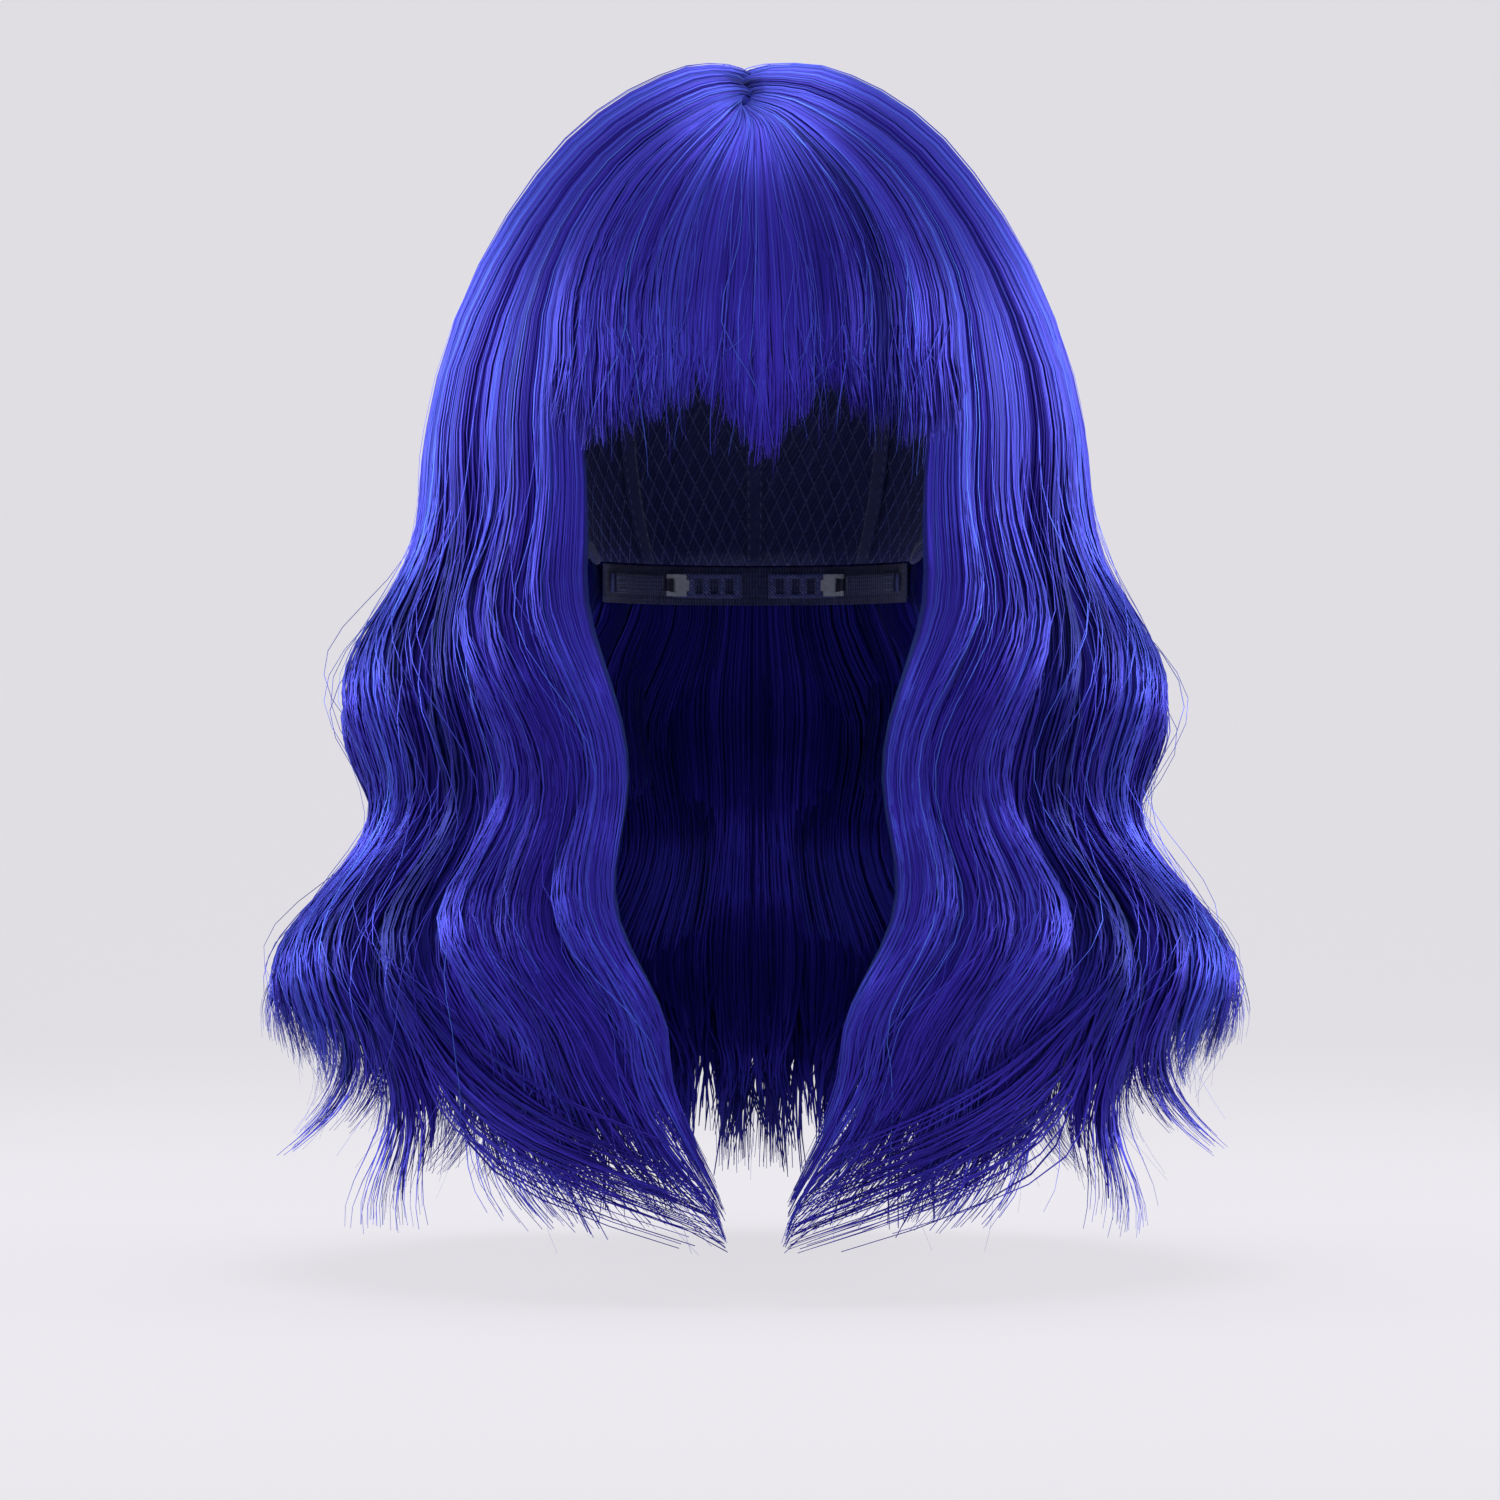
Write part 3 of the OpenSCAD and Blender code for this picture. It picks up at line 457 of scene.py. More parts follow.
# Strands of the tresses: each has a chance place in its tress, a depth and a tip of its own, and
# wanders by a slow sine.
def tressStrands(s, t, seed):
    rng = np.random.default_rng(seed)
    k, points = strandLook, s["points"]
    of = np.repeat(np.arange(s["tresses"]), s["strands"])
    n = len(of)
    place = rng.uniform(-k["reach"], k["reach"], n)
    depth = rng.uniform(0, 1, n) ** k["inward"]
    point = np.floor((place + 1) / 2 * points + rng.normal(0, k["blur"], n)).astype(int)
    point = np.clip(point, 0, points - 1)
    home = pointHome(s, point)
    tip = s["tip"](t["middle"][of] + t["half"][of] * home) + t["jog"][of, point]
    early = rng.uniform(0, 1, n) ** k["early"] + np.abs(place - home) * points * k["slant"]
    lowest = hairShape["lowestZ"] + rng.uniform(0, k["lowSpan"], n)
    tip = np.maximum(tip + s["tipSpan"] * early, lowest)
    u = stationsOf(s)[2]
    end = ease(s["curlFrom"], 1, u)
    wave = slowWave(rng, k["waves"], n, u)
    astray = rng.normal(0, 1, n) * (s["stray"] + k["curlStray"] * np.abs(t["curl"][of, point]))
    sway = rng.normal(0, s["wander"], (n, 1)) * wave + astray[:, None] * end
    lift = rng.normal(0, k["waveLift"], (n, 1)) * wave + rng.normal(0, s["strayLift"], (n, 1)) * end
    close = t["close"][of, point]
    lines = tressLines(s, t, of, point, place, depth, tip, close, sway, lift)
    turn, along, z, share, across, sink = lines
    gain = (t["gain"][of] + rng.normal(0, k["gainSpan"], n))[:, None]
    phase = (t["phase"][of] + rng.normal(0, k["phaseSpan"], n))[:, None]
    path, outward = pathOut(turn, along, z, share, gain, phase)
    taper = mixed(k["rootThin"], 1, ease(0, k["rootEnd"], u))
    taper = taper * (1 - k["tipThin"] * ease(s["thinFrom"], 1, u))
    wide = rng.uniform(*s["wide"], (n, 1)) * taper
    tilt = s["side"] * s["facing"] * s["tilt"] * across + rng.normal(0, s["tiltSpan"], (n, 1))
    rings, normals = strandRings(path, outward * s["facing"], wide, wide * k["thick"], tilt)
    # Painted shade: deeper strands, the roots at the parting and dipping tresses are drawn darker; the
    # rest of the tone differs at random.
    tone = s["tone"] + t["light"][of] + rng.normal(0, s["toneSpan"], n) - k["deepShade"] * depth
    tone = tone[:, None] - rootShade(s, along) - s["sunk"] * sink
    return rings, tone[..., None], normals


# Single loose hairs: thin strands that leave the outline by a share of the hair's depth.
looseLook = dict(wide=(0.00020, 0.00034), thick=1.4, thinFrom=0.85, tipThin=0.7, waves=(0.8, 2.6),
                 tipRise=0.004, astray=4, astrayFrom=0.75, layers=(0.9, 1.0), gain=(0.6, 1.5), phase=24,
                 tone=0.62, toneSpan=0.1)


def looseHairs(s, seed):
    rng = np.random.default_rng(seed)
    k, n = looseLook, s["loose"]
    each = (n, 1)
    turn = rng.uniform(*s["turns"], each) * s["side"]
    along, hang, u = stationsOf(s)
    tip = np.maximum(s["tip"](turn) + rng.normal(k["tipRise"], s["looseTip"], each), hairShape["lowestZ"])
    z = s["startZ"] + (tip - s["startZ"]) * hang
    wave = slowWave(rng, k["waves"], n, u)
    turn = turn + rng.normal(0, s["looseTurn"], each) * wave
    turn = turn + rng.normal(0, k["astray"], each) * ease(k["astrayFrom"], 1, u)
    share = rng.uniform(*k["layers"], each) + rng.normal(0, s["looseLift"], each) * wave
    gain, phase = rng.uniform(*k["gain"], each), rng.normal(0, k["phase"], each)
    path, outward = pathOut(turn, along, z, share, gain, phase)
    wide = rng.uniform(*k["wide"], each) * (1 - k["tipThin"] * ease(k["thinFrom"], 1, u))
    rings, normals = strandRings(path, outward, wide, wide * k["thick"], 0 * wide)
    return rings, rng.normal(k["tone"], k["toneSpan"], (n, 1, 1)), normals


# Body of a lock: a box in turn and share with round corners, carried from root to tip and drawn to
# a point. It fills the space behind the tresses, and its low tone is painted shade: the hair deep in
# the lock is drawn dark.
bodyLook = dict(corners=32, square=0.8, tipClose=0.97, overlap=1.04, rootGap=0.012, tone=0.2)


def lockBody(s):
    k = bodyLook
    a, b = s.get("bodyTurns", s["turns"])
    along, hang, u = (v.T for v in stationsOf(s))
    tip = s["tip"](np.array([(a + b) / 2]))[0] * s["bodyLength"]
    if s["crownStations"]:
        along = np.clip(along * s["bodyCrown"], k["rootGap"], 1)
    z = s["startZ"] + (tip - s["startZ"]) * hang
    angle = np.linspace(0, 2 * np.pi, k["corners"], endpoint=False)[None, :]
    ca, sa = np.cos(angle), np.sin(angle)
    grow = 1 / np.maximum(np.abs(ca), np.abs(sa)) ** k["square"]
    fill = 1 - k["tipClose"] * ease(s["bodyTaper"], 1, u)
    turn = ((a + b) / 2 + (b - a) / 2 * k["overlap"] * ca * grow * fill) * s["side"]
    share = mixed(s["bodyLow"](along), s["bodyTop"], 0.5 + 0.5 * sa * grow * fill)
    rings = hairPoint(turn, along, z, share)[None]
    return rings[:, :, ::-1] if s["side"] < 0 else rings, k["tone"], None


lowLook = dict(root=0.03, hang=0.48, rise=(0.45, 0.82))


def outerLow(along):  # the outer locks lie on the cap at the parting and over the under hair below
    return mixed(lowLook["root"], lowLook["hang"], ease(*lowLook["rise"], along))


# Outer hair: each lock runs from the parting to the tips. Turns are its stretch round the head.
outerLook = dict(tip=tipHeight, tipMean=-0.27, startZ=0.0, crownRun=0.15,
                 crownStations=13, hangStations=30, rootFine=1.6, tipFine=1.12,
                 tresses=3, strands=108, points=2, spread=(1.2, 1.5), uneven=0.15,  # how a lock is filled
                 layers=(0.82, 0.98), round=0.15, deep=0.05, tilt=0.9, tiltSpan=0.1, facing=1.0,
                 gain=(0.85, 1.15), phase=20, wander=0.35, lift=0.0,  # its waves, and dips in them
                 # sunk is painted shade: how much darker a tress is drawn where it dips
                 dip=0.0, dipStart=(0.02, 0.09), dipEnd=(0.19, 0.25), sunk=1.4,
                 drop=0.0, ragged=0.006, curl=0.0, curlSpan=2.0, curlFrom=0.8, flick=0.02,  # its tips
                 flickSpan=0.06, stray=0.9, strayLift=0.03, close=(0.3, 0.6), gatherFrom=0.88,
                 thinFrom=0.91, tipSpan=0.013, wide=(0.0005, 0.0009),
                 tone=0.5, lightSpan=0.09, toneSpan=0.06, rootDark=0.42, rootSpan=0.035, rootSharp=0.2,
                 loose=18, looseTurn=1.4, looseLift=0.05, looseTip=0.01,
                 bodyLow=outerLow, bodyTop=0.66, bodyLength=0.92, bodyTaper=0.66, bodyCrown=1.0,
                 bodySpread=1.1, bodyDepth=0.6, bodyThick=0.08, bodyShort=0.016, bodyClose=0.03)
outerTurns = dict(front_lock=(36, 54), cheek_lock=(54, 74), side_lock=(74, 96), rear_lock=(96, 122),
                  back_lock=(122, 150), spine_lock=(150, 180))
bodyTurns = dict(front_lock=(41, 54))  # the body stays behind the strands at the face's edge
innerLook = dict(tresses=2, strands=20, layers=(0.6, 0.7), crownStations=7, hangStations=18,
                 wide=(0.0009, 0.0015), rootDark=0.0)  # coarse strands between the tresses and the body
calmLook = dict(phase=7, gain=(0.95, 1.1), layers=(0.88, 0.95), round=0.11)  # level waves down the back
# Ways of one lock, with a value for each of its tresses: beside the face the tips sweep to the middle,
# over the shoulders they flick outwards. The side and rear locks have a higher tone, painted highlight
# where the side lamps light them.
tipWays = dict(front_lock=dict(tone=0.52, curl=(-8, -8, -6), drop=(0.008, 0.0, -0.002)),
               cheek_lock=dict(tone=0.51, tresses=4, strands=81, wide=(0.0007, 0.0012), bodyTop=0.55,
                               curl=(-8, -26, -4, 4), drop=(-0.012, -0.016, -0.018, -0.006),
                               # the cheek's tresses dip between their neighbours and are drawn darker
                               # there, as painted shade
                               lift=(0.0, 0.07, 0.0, 0.0), dip=(0.14, 0.2, 0.2, 0.1),
                               flick=(0.0, 0.0, 0.02, 0.03)),
               side_lock=dict(tone=0.58, wide=(0.0007, 0.0011), curl=(5, 6, 4), drop=(0.003, 0.008, 0.01),
                              flick=(0.02, 0.04, 0.05)),
               rear_lock=dict(calmLook, tone=0.55, curl=(2, 0, -1), drop=(0.008, 0.005, 0.002),
                              flick=(0.03, 0.03, 0.03)),
               back_lock=calmLook, spine_lock=calmLook)

for i, (name, turns) in enumerate(outerTurns.items()):
    stretch = bodyTurns.get(name, turns)
    for hand, side in hands.items():
        s = dict(outerLook, turns=turns, side=side, bodyTurns=stretch) | tipWays[name]
        inner = dict(outerLook, turns=stretch, side=side) | innerLook
        seed = 100 + 40 * i + (0 if side > 0 else 20)
        shape = tressShape(s, 500 + i)  # the same on both sides of the head
        groups = [lockBody(s), tressBodies(s, shape), tressStrands(s, shape, seed + 1),
                  tressStrands(inner, tressShape(inner, 520 + i), seed + 2), looseHairs(s, seed + 3)]
        dress(ringObject(f"{name}Hair.{hand}", groups, fibre, seed), f"{name}_{hand}")
print("outer locks made")

# Under hair hangs from the track at the brow line, and nape hair from the lowest track.
underLook = dict(outerLook, tip=lambda t: tipHeight(t) + 0.014, tipMean=-0.25, startZ=-0.0005,
                 crownStations=0, hangStations=19, tresses=2, strands=45, layers=(0.3, 0.42), round=0.06,
                 deep=0.1, wide=(0.0009, 0.0015), bodyLow=lambda along: 0.24 + 0 * along, bodyTop=0.36,
                 bodyTaper=0.7, bodyLength=0.86)
underTurns = dict(under_side=(70, 96), under_rear=(96, 122), under_back=(122, 150),
                  under_spine=(150, 180))
napeHairLook = dict(underLook, tip=lambda t: -0.254 + 0 * t, startZ=-0.0588, hangStations=18)
napeHairTurns = dict(nape_side=(124, 150), nape_spine=(150, 180))
# The side towards the neck, whose tresses bulge inwards. At the back the nape hair covers the under hair.
insideLook = dict(facing=-1.0, layers=(-0.02, 0.02), round=-0.03, deep=-0.04, strands=66, lightSpan=0.06,
                  bodyDepth=1.4, bodyThick=-0.02, bodyShort=0.02)
coveredLook = dict.fromkeys(("under_back", "under_spine"), dict(layers=(0.12, 0.16)))

for look, stretches, first in ((underLook, underTurns, 600), (napeHairLook, napeHairTurns, 800)):
    for i, (name, turns) in enumerate(stretches.items()):
        for hand, side in hands.items():
            s = dict(look, turns=turns, side=side)
            inside = s | insideLook | coveredLook.get(name, {})
            seed = first + 20 * i + (0 if side > 0 else 10)
            shape = tressShape(s, 1000 + first + i)
            inner = dict(tressShape(inside, 1100 + first + i), gain=shape["gain"], phase=shape["phase"])
            groups = [tressStrands(inside, inner, seed + 2), tressBodies(inside, inner)]
            groups += [tressStrands(s, shape, seed + 1), lockBody(s)] if look is underLook else []
            piece = ringObject(f"{name}Hair.{hand}", groups, shadedUnderFibre, seed)
            dress(piece, f"{name}_{hand}")
print("under hair made")

# Fringe tips: a ragged line that hangs lowest in the middle and is cut short at two places beside it.
# A bell is a height, the turn of its middle and its width, and the ends hang a little lower.
fringeCut = dict(level=-0.023, bells=((-0.016, 2, 4.5), (0.008, -11, 3.0), (0.010, 12.5, 3.0)),
                 ends=-0.007, endTurns=(14, 28))


def fringeTip(turn):
    g = fringeCut
    line = g["level"] + g["ends"] * ease(*g["endTurns"], np.abs(turn))
    return line + sum(high * np.exp(-((turn - at) / wide) ** 2) for high, at, wide in g["bells"])


# The fringe is drawn a little darker than the locks, tone 0.45, as painted shade.
fringeLook = dict(outerLook, tip=fringeTip, tipMean=-0.028, crownStations=17, hangStations=7, strands=110,
                  points=4, spread=(1.5, 2.1), layers=(0.9, 0.98), round=0.05, deep=0.14, tilt=0.3,
                  phase=0, gain=(1, 1), ragged=0.002, curlSpan=0.7, flick=0.0, flickSpan=0.03,
                  close=(0.4, 0.8), gatherFrom=0.6, tipSpan=0.009, stray=0.5, wander=0.3, tone=0.45,
                  wide=(0.00045, 0.0008), rootDark=-0.1, rootSpan=0.08, loose=30, looseTurn=1.2,
                  looseTip=0.008, bodyTop=0.74, bodyCrown=0.84, bodyTaper=0.9, bodyLength=0.0,
                  bodyDepth=0.8, bodyShort=0.012)
fringeTurns = dict(fringe_outer_right=(-36, -22), fringe_inner_right=(-22, -8), fringe_middle=(-8, 8),
                   fringe_inner_left=(8, 22), fringe_outer_left=(22, 36))
for i, (name, turns) in enumerate(fringeTurns.items()):
    s = dict(fringeLook, turns=turns, side=1.0)
    seed = 900 + 10 * i
    shape = tressShape(s, seed + 1)
    groups = [lockBody(s), tressBodies(s, shape), tressStrands(s, shape, seed + 2),
              looseHairs(s, seed + 3)]
    dress(ringObject(f"{name}Hair", groups, fibre, seed), name)
print("fringe made")


# Point on the cap at a turn, a drop from the crown in degrees and a distance off the head: an
# ellipsoid down to the brow line (drop 90), then a skirt that falls skirtRate for each degree.
def capPoint(turn, drop, off):
    c = headShape
    turn, drop, off = np.broadcast_arrays(turn, drop, off)
    skirt = drop > 90
    z = np.where(skirt, -(drop - 90) * c["skirtRate"], (c["crownH"] + off) * cosD(drop))
    reach = np.where(skirt, 1.0, sinD(drop))
    halfW, halfL = capHalves(np.where(skirt, z, 0))
    return np.stack([(halfW + off) * reach * sinD(turn), -(halfL + off) * reach * cosD(turn), z], -1)


def dropOf(z):  # the drop in degrees at a height: an arc cosine on the ellipsoid, straight on the skirt
    c = headShape
    dome = np.rad2deg(np.arccos(np.clip(z / c["crownH"], -1, 1)))
    return np.where(z >= 0, dome, 90 - z / c["skirtRate"])


def rimZ(turn):  # edge of the cap: high at the hairline, level at the ears, low at the nape
    c, t = headShape, np.abs((turn + 180) % 360 - 180)
    rise = (c["hairlineZ"] - c["earZ"]) * ease(c["hairlineTurn"], c["templeTurn"], t)
    return c["hairlineZ"] - rise - (c["earZ"] + c["napeDrop"]) * ease(c["earBackTurn"], c["napeTurn"], t)


def edgePoint(turn, height, off):  # a point at a height over the edge of the cap
    return capPoint(turn, dropOf(rimZ(turn) + height), off)


def sheetRings(outer, inner):  # closes two grids of points (rows, columns, 3) into one flat tube
    return np.concatenate([outer, inner[:, ::-1]], 1)[None]


# Sewn stitches: short tubes of three corners that rise in the middle, one at each point. Each of the
# three stations has its place along the stitch, its rise and its width.
stitchLook = dict(along=(-0.5, 0.0, 0.5), rise=(0.0, 0.7, 0.0), wide=(0.5, 1.0, 0.5), thick=0.8, tone=1.0)


def stitchRings(points, way, outward, length=0.0022, width=0.0005):
    along, rise = (np.array(stitchLook[key])[None, :, None] for key in ("along", "rise"))
    path = points[:, None] + unit(way)[:, None] * along * length + outward[:, None] * rise * width
    wide = np.full(path.shape[:2], width) * np.array(stitchLook["wide"])
    up = np.repeat(outward[:, None], 3, 1)
    return strandRings(path, up, wide, wide * stitchLook["thick"], 0 * wide)[0], stitchLook["tone"], None


# A row of stitches on a surface: place gives the point for t and a distance off, step is how far on
# the next point of the row is looked for, and out is the side that the stitches show on.
def sewnRow(place, t, step, off, out):
    seat = place(t, off)
    return stitchRings(seat, place(t + step, off) - seat, unit(place(t, off + out) - seat))


outFace, inFace = 0.001, -0.001  # a step away from the head, or towards it

# Woven and knitted tapes: ribs of thread at an angle to the tape, rib millimetres apart, with a slow
# unevenness over them. Tone 1 is sewing thread, which is lighter than the tape.
tapeLook = dict(ribTone=0.3, unevenTone=0.3, unevenScale=0.35, ribDepth=0.0004, ior=1.5, sheenSpread=0.5)


def makeTape(name, stops, rib, angle, bump, rough, sheen):
    g = tapeLook
    made, tree = newMaterial(name)
    uv = addNode(tree, "ShaderNodeUVMap", uv_map="across")
    turned = addNode(tree, "ShaderNodeMapping", {"Rotation": (0, 0, np.deg2rad(angle))},
                     {"Vector": (uv, "UV")})
    ribs = addNode(tree, "ShaderNodeTexWave",  # the texture has a wave in every pi / 10 at scale 1
                   {"Scale": np.pi / 10 / rib, "Distortion": 0.6, "Detail": 1.0, "Detail Scale": 2.0},
                   {"Vector": (turned, "Vector")})
    uneven = addNode(tree, "ShaderNodeTexNoise", {"Scale": g["unevenScale"], "Detail": 3.0},
                     {"Vector": (uv, "UV")})
    tone = addNode(tree, "ShaderNodeAttribute", attribute_name="tone")
    a = addNode(tree, "ShaderNodeMath", {1: g["ribTone"], 2: -g["ribTone"] / 2}, {0: (ribs, "Fac")},
                operation="MULTIPLY_ADD")
    b = addNode(tree, "ShaderNodeMath", {1: g["unevenTone"]}, {0: (uneven, "Fac"), 2: (a, "Value")},
                operation="MULTIPLY_ADD")
    total = addNode(tree, "ShaderNodeMath", (), {0: (b, "Value"), 1: (tone, "Fac")}, operation="ADD")
    ramp = addNode(tree, "ShaderNodeValToRGB", (), {"Fac": (total, "Value")})
    setStops(ramp, stops)
    lift = addNode(tree, "ShaderNodeBump", {"Strength": bump, "Distance": g["ribDepth"]},
                   {"Height": (ribs, "Fac")})
    shader = addNode(tree, "ShaderNodeBsdfPrincipled",
                     {"Roughness": rough, "IOR": g["ior"], "Sheen Weight": sheen,
                      "Sheen Roughness": g["sheenSpread"]},
                     {"Base Color": (ramp, "Color"), "Normal": (lift, "Normal")})
    closeMaterial(tree, shader)
    return made


# Rose net is knitted polyamide, binding is twill tape, elastic is knitted over rubber threads, and a
# weft is hair sewn into a narrow tape by rows of thread.
netting = makeTape("knittedPolyamideNet", [(0.2, "#181D52"), (0.6, "#2E377C"), (1.0, "#6472C0")],
                   rib=1.2, angle=30, bump=0.3, rough=0.6, sheen=0.15)
binding = makeTape("polyesterTwillTape", [(0.2, "#1A2054"), (0.65, "#343D84"), (1.0, "#7884CA")],
                   rib=0.9, angle=40, bump=0.5, rough=0.62, sheen=0.25)
elastic = makeTape("knittedElastic", [(0.2, "#14183A"), (0.65, "#2A3064"), (1.0, "#6872B6")],
                   rib=1.1, angle=90, bump=0.7, rough=0.55, sheen=0.2)
weft = makeTape("sewnWeftTape", [(0.2, "#120C4A"), (0.65, "#241C7A"), (1.0, "#4A4CB4")],
                rib=1.4, angle=0, bump=0.6, rough=0.5, sheen=0.1)

# Crown net: a thin lining, and a diamond net of threads on the side towards the head. The threads
# lean both ways and weave over and under each other by a cosine.
netLook = dict(rows=30, columns=96, top=5.0, outside=0.0008, inside=0.0004, tone=0.36, threads=84,
               threadTop=14.0, lean=62, stations=34, threadWide=0.00062, threadThick=0.0004, sunk=0.45,
               weave=0.2, threadTone=0.75)


def makeNet():
    g = netLook
    turn = np.linspace(-180, 180, g["columns"], endpoint=False)[None, :]
    fall = np.linspace(0, 1, g["rows"])[:, None]
    drop = mixed(g["top"], dropOf(rimZ(turn)), fall)
    sides = [capPoint(turn, drop, g["inside"]), capPoint(turn, drop, g["outside"])[::-1]]
    groups = [(np.concatenate(sides)[None], g["tone"], None)]
    s = np.linspace(0, 1, g["stations"])[None, :]
    first = np.linspace(-180, 180, g["threads"], endpoint=False)[:, None]
    for way in (-1, 1):
        turn = first + way * g["lean"] * s
        drop = mixed(g["threadTop"], dropOf(rimZ(turn)), s)
        weave = g["sunk"] + g["weave"] * way * np.cos(s * np.pi * g["stations"])
        off = g["inside"] - g["threadThick"] * weave
        path = capPoint(turn, drop, off)
        inward = unit(capPoint(turn, drop, off + inFace) - path)
        wide, thick = (np.full(path.shape[:2], g[key]) for key in ("threadWide", "threadThick"))
        groups.append((strandRings(path, inward, wide, thick, 0 * wide)[0], g["threadTone"], None))
    dress(ringObject("crownNetLace", groups, netting, 2000), "crown_net")


# Bound edge: a tape folded over the rim of the net. Its section is a closed U in distance off the
# head and height over the rim, in millimetres, carried round a stretch of turns, with a row of
# stitches inside. stitch is their spacing and row their height.
bindLook = dict(section=((2.4, 10.6), (2.4, 5.0), (2.4, 0.2), (2.2, -0.7), (1.5, -1.2), (0.6, -1.2),
                         (-0.2, -0.8), (-0.6, 0.0), (-0.62, 3.0), (-0.6, 6.4), (-0.35, 6.8),
                         (-0.15, 6.4), (-0.12, 3.0), (-0.1, 0.2), (0.5, -0.45), (1.3, -0.3),
                         (1.42, 5.0), (1.45, 10.6), (1.7, 11.0), (2.15, 11.0)),
                turnStep=1.6, stitch=0.0034, row=0.0048, rowOff=-0.0006, rowStep=0.5, tone=0.5)
boundEdges = {"hairlineBinding": (-61.8, 61.8, "front_band"),
              "sideBinding.left": (79.9, 119.8, "side_band_left"),
              "sideBinding.right": (-79.9, -119.8, "side_band_right")}


def makeBinding(name, a, b, node):
    g = bindLook
    off, height = (np.array(g["section"]) / mm).T[:, None, :]
    turn = np.linspace(a, b, int(abs(b - a) / g["turnStep"]) + 2)[:, None]
    rings = edgePoint(turn, height, off)[None]
    if b < a:
        rings = rings[:, :, ::-1]
    length = np.linalg.norm(np.diff(edgePoint(turn, 0.0, 0.0)[:, 0], axis=0), axis=-1).sum()
    t = np.linspace(a, b, int(length / g["stitch"]))[1:-1]
    sewn = sewnRow(lambda t, off: edgePoint(t, g["row"], off), t, g["rowStep"], g["rowOff"], inFace)
    dress(ringObject(name, [(rings, g["tone"], None), sewn], binding, 2010), node)


# Ear tab: a tongue of tape that narrows to a round end, its edges a little pressed, with stitches
# down both edges on both sides.
tabLook = dict(middle=70.8, wide=17.0, topZ=0.006, endZ=-0.035, endWide=0.35, narrowFrom=0.5,
               roundFrom=0.86, roundRun=0.145, off=0.0014, thick=0.001, press=0.25, rows=28, columns=11,
               seam=0.78, seamRun=(0.05, 0.82), stitches=11, rowStep=0.02, tone=0.5)


def makeEarTab(hand, side):
    g = tabLook
    s = np.linspace(0, 1, g["rows"])[:, None]
    u = np.linspace(-1, 1, g["columns"])[None, :]

    def tabPoint(s, u, off):
        bow = np.clip(s - g["roundFrom"], 0, 1) / g["roundRun"]
        narrow = mixed(1, g["endWide"], ease(g["narrowFrom"], 1, s))
        narrow = narrow * np.sqrt(np.clip(1 - bow ** 2, 0, 1))
        turn = side * (g["middle"] + u * narrow * g["wide"] / 2)
        return capPoint(turn, dropOf(mixed(g["topZ"], g["endZ"], s)), off)

    edge = g["press"] * g["thick"] * np.abs(u) ** 6
    top = g["off"] + g["thick"]
    rings = sheetRings(tabPoint(s, u, top - edge), tabPoint(s, u, g["off"] + edge))
    if side > 0:
        rings = rings[:, :, ::-1]
    t = np.linspace(*g["seamRun"], g["stitches"])
    sewn = [sewnRow(lambda t, off: tabPoint(t, seam, off), t, g["rowStep"], off, out)
            for seam in (-g["seam"], g["seam"]) for off, out in ((top, outFace), (g["off"], inFace))]
    groups = [(rings, g["tone"], None), *sewn]
    dress(ringObject(f"earTab.{hand}", groups, binding, 2020), f"ear_tab_{hand}")


# Rib: a tape inside the net from the crown to the nape, the width of a few degrees, its edges a
# little pressed and sewn down.
ribLook = dict(fromDrop=24.0, wide=5.0, off=-0.0009, thick=0.0008, press=0.3, rows=48, columns=7,
               seam=0.72, seamEnd=2.0, stitches=40, rowStep=0.5, tone=0.45)
ribPlaces = {"middleRib": (180.0, "rib_middle"), "sideRib.left": (142.0, "rib_left"),
             "sideRib.right": (218.0, "rib_right")}


def makeRib(name, turn, node):
    g = ribLook
    start, stop = g["fromDrop"], dropOf(-headShape["napeDrop"])
    d = np.linspace(start, stop, g["rows"])[:, None]
    u = np.linspace(-1, 1, g["columns"])[None, :]

    def ribPoint(d, u, off):
        return capPoint(turn + u * g["wide"] / 2 / np.maximum(0.5, sinD(np.minimum(90, d))), d, off)

    edge = g["press"] * g["thick"] * np.abs(u) ** 4
    low = g["off"] - g["thick"]
    rings = sheetRings(ribPoint(d, u, g["off"] - edge), ribPoint(d, u, low + edge))[:, :, ::-1]
    t = np.linspace(start + g["seamEnd"], stop - g["seamEnd"], g["stitches"])
    sewn = [sewnRow(lambda t, off: ribPoint(t, seam, off), t, g["rowStep"], low, inFace)
            for seam in (-g["seam"], g["seam"])]
    dress(ringObject(name, [(rings, g["tone"], None), *sewn], binding, 2030), node)


makeNet()
for name, (a, b, node) in boundEdges.items():
    makeBinding(name, a, b, node)
for hand, side in hands.items():
    makeEarTab(hand, side)
for name, (turn, node) in ribPlaces.items():
    makeRib(name, turn, node)

# Weft tracks: tapes round the back of the net that the hair is sewn on. Each starts where the bound
# edge of the cap is below it, found by undoing the smooth step of the rim.
trackLook = dict(topZ=0.0618, pitch=0.0195, count=7, high=0.003, off=0.0011, thick=0.0013, bandH=0.011,
                 gap=0.0003, start=66.0, past=1, step=3.0, columns=5, tone=0.45)


def trackStart(z):
    g, c = trackLook, headShape
    edge = z - g["high"] - g["bandH"] - 2 * g["gap"]
    part = min(1.0, max(0.0, (c["earZ"] - edge) / (c["earZ"] + c["napeDrop"])))
    undone = 0.5 - np.sin(np.arcsin(1 - 2 * part) / 3)
    return g["start"] if edge >= c["earZ"] else mixed(c["earBackTurn"], c["napeTurn"], undone) + g["past"]


